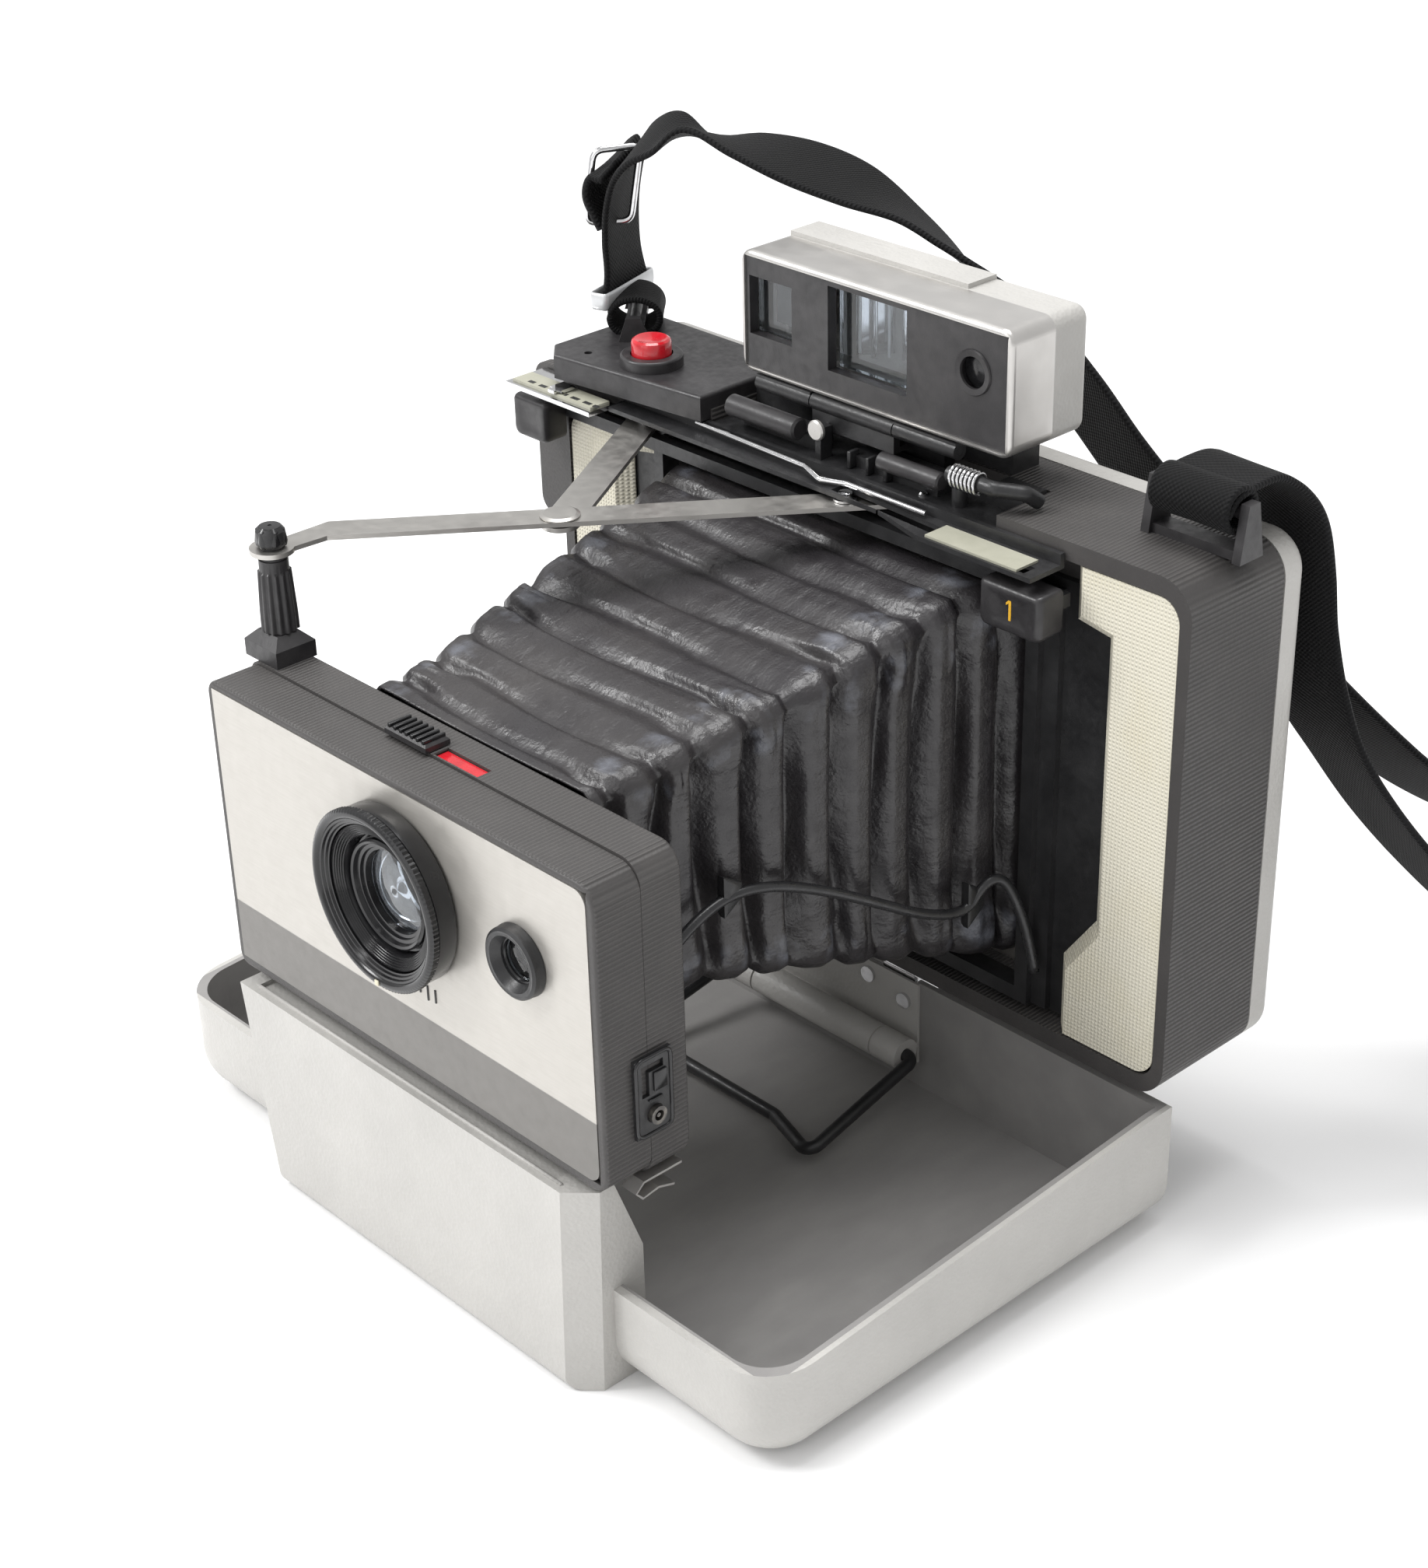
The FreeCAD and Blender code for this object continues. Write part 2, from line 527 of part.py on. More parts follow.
# ================================================================ erecting arms
def arms():
    half = "arm_width / 2"
    short = new_body("ShortArm")
    link = "arm_link"
    extrude(short, "Pad", "XY", ("short_low", "short_high"),
            [("0", "-3.8"), (f"{link}", "-4"), (f"{link}", "4"), ("0", "3.8")])
    extrude(short, "Pad", "XY", ("short_low", "short_high"), round_at=(("0", "0"), "3.8"))
    extrude(short, "Pad", "XY", ("short_low", "short_high"), round_at=((link, "0"), "4"))
    extrude(short, "Pocket", "XY", ("short_low - 1", "short_high + 1"), round_at=(("0", "0"), "1.55"))
    extrude(short, "Pad", "XY", ("short_high", "arm_high + 0.1"), round_at=((link, "0"), "2"))
    lean = math.degrees(math.asin(50 / value(link)))
    short.Placement = Placement(Vector(value("pivot_x"), 0, 0), Rotation(Vector(0, 0, 1), -lean))
    head = turned("RivetHead", [("0", "0"), ("4.2", "0"), ("4.2", "0.25"), ("3.4", "0.6"), ("0", "0.6")],
                  ("pivot_x + 30", "-50", "arm_high + 0.1"), "Z")
    node(plus("ShortArmRiveted", short, head), "short_arm")
    blade = new_body("LongArm")
    flat = ("arm_low", "arm_high")
    extrude(blade, "Pad", "XY", flat,
            [("-47", f"-({half})"), (f"{link} + 8.5", f"-({half})"), (f"{link} + 8.5", half), ("-47", half)])
    extrude(blade, "Pad", "XY", flat,
            [("-47", f"-({half})"), ("-47", half), ("-57.5", "-4.4"), ("-57.5", "-10.8")])
    extrude(blade, "Pad", "XY", flat, round_at=(("-57.84", "-7.34"), "4.6"))
    extrude(blade, "Pocket", "XY", ("arm_low - 1", "arm_high + 1"), round_at=(("-57.84", "-7.34"), "2.6"))
    extrude(blade, "Pocket", "XY", ("arm_low - 1", "arm_high + 1"), round_at=(("0", "0"), "2.05"))
    extrude(blade, "Pocket", "XY", ("arm_low - 1", "arm_high + 1"), round_at=((link, "0"), "1.55"))
    blade.Placement = Placement(Vector(-27.5, -50, 0), Rotation(Vector(0, 0, 1), 51.8))
    node(blade, "long_arm")
    pin = plus("SlidePinAll", rod("SlidePin", "1.5", "3.1", ("8.55", "-4.2", "arm_low - 0.4")),
               rod("SlideCollar", "2.6", "0.5", ("8.55", "-4.2", "arm_high + 0.1")),
               rod("SlideFoot", "2.6", "0.5", ("8.55", "-4.2", "arm_low - 0.6")))
    node(pin, "slide_pin")


# ================================================================ finder
def finder():
    x, z = ("finder_left", "finder_right"), ("finder_low", "finder_high")
    bezel = new_body("Bezel")
    extrude(bezel, "Pad", "XZ", ("finder_front", "bezel_back"), rectangle(x, z))
    dress(bezel, "Fillet", "3", lambda e: along("y", e))
    dress(bezel, "Fillet", "1.2", lambda e: on_level("y", "finder_front", e))
    inner_x, inner_z = ("finder_left + 1.2", "finder_right - 1.2"), ("finder_low + 1.2", "finder_high - 1.2")
    extrude(bezel, "Pocket", "XZ", ("finder_front", "bezel_back"), rectangle(inner_x, inner_z))
    node(bezel, "finder_bezel")
    face = new_body("FinderFace")
    extrude(face, "Pad", "XZ", ("finder_front + 0.5", "finder_front + 3"),
            rectangle(inner_x, inner_z))
    for left, right, low, high in (("-28", "-15.5", "166.4", "179"), ("-5", "17.2", "164", "182")):
        extrude(face, "Pocket", "XZ", ("finder_front", "finder_front + 3.5"),
                rectangle((left, right), (low, high)))
    extrude(face, "Pocket", "XZ", ("finder_front", "finder_front + 3.5"), round_at=(("35", "173.8"), "4.2"))
    node(face, "finder_face")
    back = new_body("FinderBack")
    extrude(back, "Pad", "XZ", ("bezel_back", "finder_back"), rectangle(x, z))
    dress(back, "Fillet", "3", lambda e: along("y", e))
    dress(back, "Fillet", "1.6", lambda e: on_level("y", "finder_back", e))
    extrude(back, "Pad", "XY", ("finder_high - 1", "finder_high + 1"),
            rectangle(("finder_left + 2", "22"), ("bezel_back + 0.4", "finder_back - 1.2")))
    extrude(back, "Pad", "XY", ("154.4", "finder_low + 0.5"),
            rectangle(("finder_left + 6", "34"), ("bezel_back + 2.5", "finder_back - 1.5")))
    extrude(back, "Pocket", "XZ", ("bezel_back", "bezel_back + 5"), rectangle(
        ("finder_left + 2.4", "finder_right - 2.4"), ("finder_low + 2.4", "finder_high - 2.4")))
    extrude(back, "Pocket", "XZ", ("bezel_back + 3", "finder_back + 1"), round_at=(("4.4", "171.6"), "4"))
    node(back, "finder_housing")
    node(box("GlassMain", ("-5", "17.2"), ("finder_front + 4", "finder_front + 6"), ("164", "182")),
         "finder_window_main")
    square = box("GlassRange", ("-28", "-15.5"), ("finder_front + 3.2", "finder_front + 4.6"), ("166.4", "179"))
    disc = rod("GlassRound", "4.1", "1.6", ("35", "finder_front + 4.4", "173.8"), "-Y")
    node(group("SideWindows", square, disc), "finder_side_windows")
    eye = turned("EyeCup", [("2.6", "0"), ("4", "0"), ("4", "3"), ("6.5", "3"), ("6.5", "5.6"), ("4.6", "5.6")],
                 ("4.4", "finder_back - 3", "171.6"), "Y")
    node(eye, "finder_eyepiece")
    pivot = ("hinge_line_y", "hinge_line_z")
    webs, knuckles = [], []
    for n, (start, length) in enumerate((("-26", "16"), ("14", "17"))):
        knuckles.append(rod(f"FootKnuckle{n}", "1.85", length, (start, *pivot), "X"))
        webs.append(box(f"FootWeb{n}", (start, f"{start} + {length}"),
                        ("hinge_line_y - 1.3", "hinge_line_y + 1.3"),
                        ("hinge_line_z", "finder_low - 0.1")))
    foot = minus("FootBore", plus("Foot", *knuckles, *webs), rod("FootHole", "0.95", "62", ("-28", *pivot), "X"))
    node(foot, "finder_foot")
    rest = box("SeatRest", ("-30", "35"), ("17", "25"), ("body_top", "154.2"))
    bridge = box("SeatBridge", ("-9.7", "13.7"), ("hinge_line_y - 0.9", "17"), ("150.7", "151.8"))
    leg = box("SeatLeg", ("-9.7", "13.7"), ("hinge_line_y - 0.9", "hinge_line_y + 0.9"),
              ("150.7", "hinge_line_z"))
    knuckle = rod("SeatKnuckle", "1.85", "23.4", ("-9.7", *pivot), "X")
    pin = rod("FinderPin", "0.9", "57", ("-26", *pivot), "X")
    node(plus("Seat", rest, bridge, leg, knuckle, pin), "finder_seat")


# ================================================================ front standard
def standard():
    front = new_body("StdFront")
    x = ("std_left", "std_right")
    extrude(front, "Pad", "XZ", ("std_front", "std_seam"), rectangle(x, ("std_low - 2", "std_high + 0.6")))
    dress(front, "Fillet", "5", lambda e: along("y", e) and e.BoundBox.XMin > 0)
    dress(front, "Fillet", "3", lambda e: along("y", e) and e.BoundBox.XMin < 0)
    dress(front, "Fillet", "0.9", lambda e: on_level("y", "std_front", e))
    extrude(front, "Pocket", "XZ", ("std_front", "std_front + 1"),
            rectangle(("std_left + 1.9", "std_right - 2"), ("std_low + 0.4", "std_high - 0.8")))
    extrude(front, "Pocket", "XZ", ("std_front + 3.5", "std_seam"),
            rectangle(("std_left + 2.4", "std_right - 2.4"), ("std_low + 0.4", "std_high - 1.8")))
    extrude(front, "Pocket", "XZ", ("std_front", "std_seam"), round_at=(("0", "lens_z"), "15.6"))
    extrude(front, "Pocket", "XZ", ("std_front", "std_seam"), round_at=(("cell_x", "cell_z"), "5.5"))
    node(front, "standard_front_shell")
    rear = new_body("StdRear")
    extrude(rear, "Pad", "XZ", ("std_seam + 0.1", "std_rear"), rectangle(x, ("std_low - 2.8", "std_high + 1.2")))
    dress(rear, "Fillet", "5", lambda e: along("y", e) and e.BoundBox.XMin > 0)
    dress(rear, "Fillet", "3", lambda e: along("y", e) and e.BoundBox.XMin < 0)
    dress(rear, "Fillet", "0.8", lambda e: on_level("y", "std_rear", e))
    extrude(rear, "Pocket", "XZ", ("std_seam", "std_rear - 2"),
            rectangle(("std_left + 2.4", "std_right - 2.4"), ("std_low", "std_high - 1.8")))
    extrude(rear, "Pocket", "XZ", ("std_rear - 3", "std_rear + 1"),
            rectangle(("-28", "28"), ("68", "112")))
    extrude(rear, "Pocket", "XY", ("std_high - 0.2", "std_high + 2"),
            rectangle(("-1.2", "12"), ("-105.5", "-102")))
    node(rear, "standard_rear_shell")
    plate = new_body("FacePlate")
    extrude(plate, "Pad", "XZ", ("std_front - 0.15", "std_front + 0.9"),
            rectangle(("std_left + 2", "std_right - 2.1"), ("std_low + 0.5", "std_high - 0.9")))
    extrude(plate, "Pocket", "XZ", ("std_front - 1", "std_front + 1"), round_at=(("0", "lens_z"), "15.7"))
    extrude(plate, "Pocket", "XZ", ("std_front - 1", "std_front + 1"), round_at=(("cell_x", "cell_z"), "5.5"))
    dress(plate, "Fillet", "3", lambda e: along("y", e) and e.BoundBox.XMin > 50)
    node(plate, "face_plate")
    node(box("Board", ("-54", "54"), ("-110.9", "-109.6"), ("56", "112")), "shutter_board")
    post_base = new_body("PostBase")
    extrude(post_base, "Pad", "XY", ("std_high + 1.2", "124"), rectangle(("-63", "-52"), ("-105.4", "-95.6")))
    dress(post_base, "Chamfer", "2.2", lambda e: on_level("z", "124", e))
    column = rod("PostColumn", "3.1", "16.8", ("pivot_x", "standard_pivot_y", "124"), tip="2.7")
    neck = rod("PostNeck", "2.5", "1.6", ("pivot_x", "standard_pivot_y", "140.8"))
    node(plus("Post", post_base, column, neck), "pivot_post")
    cap = turned("PostCap", [("0", "0"), ("2.8", "0"), ("3.1", "0.6"), ("3.0", "3.2"), ("2.4", "4"), ("0", "4")],
                 ("pivot_x", "standard_pivot_y", "142.4"), "Z")
    node(cap, "post_cap")
    socket = minus("SocketAll",
                   box("SocketPlate", ("std_right", "std_right + 0.9"), ("-110", "-101"), ("60.7", "78.2")),
                   rod("SocketHole", "2", "4", ("std_right - 2", "-105.3", "65"), "X"),
                   box("SocketSlot", ("std_right - 1", "std_right + 3"), ("-108.4", "-106.6"), ("69.5", "76.4")),
                   box("SocketFoot", ("std_right - 1", "std_right + 3"), ("-106.6", "-103"), ("74.6", "76.4")))
    node(socket, "flash_panel")
    ring = minus("SyncAll", rod("SyncRing", "1.9", "2", ("std_right + 0", "-105.3", "65"), "X"),
                 rod("SyncBore", "1.1", "2", ("std_right + 0.6", "-105.3", "65"), "X"))
    core = rod("SyncCore", "0.45", "1.6", ("std_right + 0.2", "-105.3", "65"), "X")
    node(plus("Sync", ring, core), "sync_socket")
    bends = [(-98, 49.35, 0, 1), (-107.6, 49.35, -0.3, 1), (-109.6, 47.6, -1, 0.1), (-108, 45.8, -0.4, -1),
             (-104, 46.4, 0.2, -1), (-100, 45.2, -0.2, -1)]
    node(made("Clip", bent_strip(bends, 53.4, 4, 0.5)), "spring_latch")
    glass = box("RedGlass", ("-1", "11.8"), ("-105.3", "-102.2"), ("std_high - 0.2", "std_high + 0.6"))
    node(glass, "red_window")


def bent_strip(bends, left, width, thickness):
    """A strip of spring metal bent in the YZ plane; each bend gives its place and its outward normal."""
    outer, inner = [], []
    for y, z, away_y, away_z in bends:
        place, away = Vector(left, y, z), Vector(0, away_y, away_z).normalize() * (thickness / 2)
        outer.append(place + away)
        inner.append(place - away)
    loop = outer + inner[::-1]
    return Part.Face(Part.makePolygon(loop + loop[:1])).extrude(Vector(width, 0, 0))


def film_selector():
    key = new_body("Selector")
    extrude(key, "Pad", "XY", ("std_high + 1.4", "std_high + 3"),
            rectangle(("-14.6", "-1.8"), ("-106.9", "-100.9")))
    dress(key, "Chamfer", "0.5", lambda e: on_level("z", "std_high + 3", e))
    node(key, "film_selector")


def lens():
    barrel = turned("LensBarrel", [
        ("10.4", "-6"), ("15.3", "-6"), ("15.3", "1.2"), ("13.6", "1.2"), ("13.6", "0"), ("12.4", "-0.8"),
        ("12.4", "-2"), ("10.4", "-3")], ("0", "std_front + 0", "lens_z"))
    node(barrel, "lens_barrel")
    ring = turned("LensRing", [
        ("16.4", "0.7"), ("18.6", "0.7"), ("18.6", "5"), ("lens_radius", "5.2"), ("lens_radius", "6.8"),
        ("18.4", "7.2"), ("17.4", "7.2"), ("15.4", "5"), ("15.4", "1.7"), ("16.4", "1.7")],
        ("0", "std_front", "lens_z"))
    node(ring, "lens_ring")
    glass = turned("LensGlass", [("0", "-5"), ("10.2", "-5"), ("10.2", "-2.2"), ("6", "-0.9"), ("0", "-0.3")],
                   ("0", "std_front", "lens_z"))
    node(glass, "lens_glass")
    tube = turned("CellTube", [("4.6", "-4"), ("5.4", "-4"), ("5.4", "0.2"), ("cell_radius", "0.2"),
                               ("cell_radius", "2.4"), ("6.6", "2.8"), ("5.8", "2.8"), ("4.6", "1")],
                  ("cell_x", "std_front", "cell_z"))
    node(tube, "photocell_tube")
    eye = turned("CellGlass", [("0", "-3"), ("4.5", "-3"), ("4.5", "-0.4"), ("2.4", "0.3"), ("0", "0.5")],
                 ("cell_x", "std_front", "cell_z"))
    node(eye, "photocell_glass")


# ================================================================ bellows
def bellows():
    def ring(y, half, low, high):
        corners = [Vector(-half, y, low), Vector(half, y, low), Vector(half, y, high), Vector(-half, y, high)]
        return Part.makePolygon(corners + corners[:1])
    rear, nose = 8.6, value("std_rear") + 0.3
    outer = Part.makeLoft([ring(rear, value("bellows_half"), value("bellows_low"), value("bellows_high")),
                           ring(nose, value("nose_half"), value("nose_low"), value("nose_high"))], True, True)
    inner = Part.makeLoft([ring(rear, value("bellows_half") - 2, value("bellows_low") + 2,
                                value("bellows_high") - 2),
                           ring(nose, value("nose_half") - 2, value("nose_low") + 2, value("nose_high") - 2)],
                          True, True)
    flange = Part.makeBox(106.8, 1.4, 92.8, Vector(-53.4, 7.2, 42.1))
    throat = Part.makeBox(94, 3, 82, Vector(-47, 6, 48.5))
    node(made("Bellows", outer.cut(inner).fuse(flange.cut(throat)).removeSplitter()), "bellows")


def bellows_cable():
    points = [(37, -95, 74), (38, -86, 78), (38.5, -77, 84.5), (39.2, -68, 87.8), (41.6, -59, 87.4),
              (44, -47.5, 82.6), (46.8, -35, 75.5), (49.2, -22, 67.5), (51, -11.5, 64.5), (52, -7.5, 70.5),
              (53.6, -3.6, 71), (56, -1.8, 65.5), (58.5, -0.6, 57.5), (60, 0, 49)]
    node(made("Cable", wire_rod([Vector(*p) for p in points], 1.1, 5)), "bellows_cable")


# ================================================================ front cover
def front_cover():
    """The tray that the camera stands on, with a bulge in its front wall for the folded lens."""
    tray = new_body("Tray")
    wall = "cover_wall"
    extrude(tray, "Pad", "XY", ("0", "rim_back"),
            rectangle(("cover_left", "cover_right"), ("cover_front", "cover_back")))
    dress(tray, "Fillet", "12", lambda e: along("z", e) and e.BoundBox.YMax < -50)
    dress(tray, "Fillet", "10.5", lambda e: on_level("z", "0", e) and e.BoundBox.YMin < 3)
    hollow = new_body("TrayHollow")
    extrude(hollow, "Pad", "XY", (wall, "rim_back + 5"),
            rectangle((f"cover_left + {wall}", f"cover_right - {wall}"),
                      (f"cover_front + {wall}", f"cover_back - {wall}")))
    dress(hollow, "Fillet", "9.6", lambda e: along("z", e) and e.BoundBox.YMax < -50)
    dress(hollow, "Fillet", "8.2", lambda e: on_level("z", wall, e) and e.BoundBox.YMin < 1)
    bulge = new_body("Bulge")
    extrude(bulge, "Pad", "YZ", ("block_left", "block_right"),
            [("block_foot", "0"), ("block_lip", "block_top"), ("block_lip + 9", "block_top"),
             ("cover_front + 8", "30"), ("cover_front + 8", "0")])
    dress(bulge, "Chamfer", "5.4", lambda e: e.BoundBox.YMin < value("block_foot") + 0.1
          and e.BoundBox.ZLength > 40 and e.BoundBox.XMin > 0)
    extrude(bulge, "Pocket", "XZ", ("block_foot - 1", "cover_front + 9"),
            [("block_left - 1", "-1"), ("block_heel", "-1"), ("block_heel", "0"),
             ("block_left", "block_top"), ("block_left - 1", "block_top")])
    dress(bulge, "Fillet", "3", lambda e: on_level("z", "0", e) and e.BoundBox.YMax < value("block_foot") + 4)
    extrude(bulge, "Pocket", "XY", ("block_top - 0.9", "block_top + 1"),
            rectangle(("block_left + 4", "block_right - 9"), ("block_lip + 1.7", "block_lip + 10")))
    bay = new_body("Bay")
    extrude(bay, "Pad", "YZ", (f"block_left + {wall}", f"block_right - {wall}"),
            [(f"block_foot + {wall}", wall), (f"block_lip + {wall}", f"block_top - {wall}"),
             ("block_lip + 12", f"block_top - {wall}"), ("cover_front + 12", "29"), ("cover_front + 12", wall)])
    dress(bay, "Chamfer", "4.4", lambda e: e.BoundBox.YMin < value("block_foot") + 2.5
          and e.BoundBox.ZLength > 40 and e.BoundBox.XMin > 0)
    extrude(bay, "Pocket", "XZ", ("block_foot - 1", "cover_front + 13"),
            [("block_left - 1", "-1"), (f"block_heel + {wall}", "-1"), (f"block_heel + {wall}", "0"),
             (f"block_left + {wall}", "block_top"), ("block_left - 1", "block_top")])
    slopes = []
    for side, (left, right, low) in enumerate((("cover_left - 1", "block_left", "rim_front + 1.5"),
                                               ("block_right", "cover_right + 1", "rim_front"))):
        slope = new_body(f"RimSlope{side}")
        extrude(slope, "Pad", "YZ", (left, right),
                [("cover_front - 1", low), ("cover_back - 6", "rim_back"),
                 ("cover_back - 6", "rim_back + 3"), ("cover_front - 1", "rim_back + 3")])
        slopes.append(slope)
    shell = minus("TrayShell", tray, hollow, *slopes)
    return minus("TrayBay", plus("TrayBulge", shell, bulge), bay)


def cover_parts():
    tray = front_cover()
    bore = rod("CoverBore", "1.06", "60", ("-30", "hinge_y", "hinge_z"), "X")
    ears = [rod(f"CoverEar{n}", "knuckle", "9", (start, "hinge_y", "hinge_z"), "X")
            for n, start in enumerate(("-14.3", "5.3"))]
    lobes = [rod(f"CoverGap{n}", "knuckle + 0.35", length, (start, "hinge_y", "hinge_z"), "X")
             for n, (start, length) in enumerate((("-25", "10.7"), ("-5.3", "10.6"), ("14.3", "10.7")))]
    body_cut = minus("TrayOpen", tray, *lobes)
    node(minus("TrayBored", plus("TrayEars", body_cut, *ears), bore), "front_cover")
    seats = []
    for n, (start, length) in enumerate((("-24", "9.4"), ("-5", "10"), ("14.6", "9.4"))):
        seats.append(rod(f"BodyEar{n}", "knuckle", length, (start, "hinge_y", "hinge_z"), "X"))
    strip = box("BodyLeaf", ("-24", "24"), ("hinge_y + 1.4", "hinge_y + 12"),
                ("body_bottom - 0.5", "body_bottom"))
    legs = [box(f"BodyLeg{n}", (start, f"{start} + {length}"), ("hinge_y + 0", "hinge_y + 2"),
                ("hinge_z + 1.2", "body_bottom"))
            for n, (start, length) in enumerate((("-24", "9.4"), ("-5", "10"), ("14.6", "9.4")))]
    pin = rod("HingePin", "1.0", "48", ("-24", "hinge_y", "hinge_z"), "X")
    node(plus("Bracket", strip, *legs, *seats, pin), "hinge_bracket")
    leaf = box("BailLeaf", ("-26", "26"), ("0.9", "1.55"), ("9", "29.6"))
    shelf = box("BailShelf", ("-26", "26"), ("bail_y", "1.55"), ("bail_z - 0.7", "bail_z + 0.7"))
    barrel = rod("BailBarrel", "3.7", "54", ("-27", "bail_y", "bail_z"), "X")
    grooves = [minus(f"BailGrooveAll{n}", rod(f"BailGroove{n}", "4.2", "0.5", (start, "bail_y", "bail_z"), "X"),
                     rod(f"BailGrooveIn{n}", "3.3", "0.6", (start, "bail_y", "bail_z"), "X"))
               for n, start in enumerate(("-19.3", "18.8"))]
    ends = rod("BailBore", "bail_wire / 2 + 0.06", "60", ("-30", "bail_y", "bail_z"), "X")
    node(minus("BailHolder", plus("BailLeafAll", leaf, shelf, barrel), *grooves, ends), "bail_holder")
    screws = []
    for n, (x, z) in enumerate((("-22", "24"), ("22", "24"), ("-11", "26.2"), ("11", "26.2"))):
        screws.append(rod(f"LeafScrew{n}", "1.9", "0.8", (x, "0.9", z), "-Y"))
    node(group("LeafScrews", *screws), "bail_screws")


def wire_bail():
    """A bowed loop of wire that swings on the holder's barrel."""
    half = [(24, -4, 14), (29.6, -4, 14), (31, -38.5, 6.8), (15, -33, 6.2)]
    mirrored = [(-x, y, z) for x, y, z in reversed(half)]
    points = [Vector(*p) for p in half + mirrored]
    node(made("Bail", wire_rod(points, value("bail_wire") / 2, 2.4)), "wire_bail")


for build in (body_shell, dark_frame, top_deck, shutter_button, mechanism, rail, scale_strips, arm_pin,
              film_chamber, strap, film_door, focus_slide, arms, finder, standard, film_selector, lens,
              bellows, bellows_cable, cover_parts, wire_bail):
    build()

doc.recompute()
for obj in doc.Objects:
    if "Invalid" in obj.State or "Error" in obj.State:
        raise RuntimeError(f"{obj.Name} failed: {obj.State}")
os.makedirs("parts", exist_ok=True)
for part in NODES:
    shape = part.Shape
    if shape.isNull() or not shape.isValid():
        raise RuntimeError(f"{part.Label} is null or not valid")
    shape.exportStep(f"parts/{part.Label}.step")
print(len(NODES), "sub-parts")
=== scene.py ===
import json
import math
import random

import bmesh
import bpy
from mathutils import Matrix, Vector


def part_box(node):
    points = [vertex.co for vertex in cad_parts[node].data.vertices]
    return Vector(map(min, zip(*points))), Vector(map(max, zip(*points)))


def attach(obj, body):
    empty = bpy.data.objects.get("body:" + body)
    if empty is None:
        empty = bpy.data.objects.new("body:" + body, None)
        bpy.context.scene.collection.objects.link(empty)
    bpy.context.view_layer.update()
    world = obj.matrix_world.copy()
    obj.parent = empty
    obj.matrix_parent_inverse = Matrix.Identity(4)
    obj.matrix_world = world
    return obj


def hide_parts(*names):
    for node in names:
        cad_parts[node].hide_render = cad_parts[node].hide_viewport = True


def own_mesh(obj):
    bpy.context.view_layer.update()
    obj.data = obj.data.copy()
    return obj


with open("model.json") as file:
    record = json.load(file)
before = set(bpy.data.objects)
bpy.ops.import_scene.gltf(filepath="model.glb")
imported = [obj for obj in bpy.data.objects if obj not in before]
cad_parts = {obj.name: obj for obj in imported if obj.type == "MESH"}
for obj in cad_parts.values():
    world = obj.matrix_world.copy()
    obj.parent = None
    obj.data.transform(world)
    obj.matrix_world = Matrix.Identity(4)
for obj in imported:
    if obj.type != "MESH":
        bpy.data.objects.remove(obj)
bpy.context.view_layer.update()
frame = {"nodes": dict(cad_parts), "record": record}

MM = 0.001
nodes = frame["nodes"]


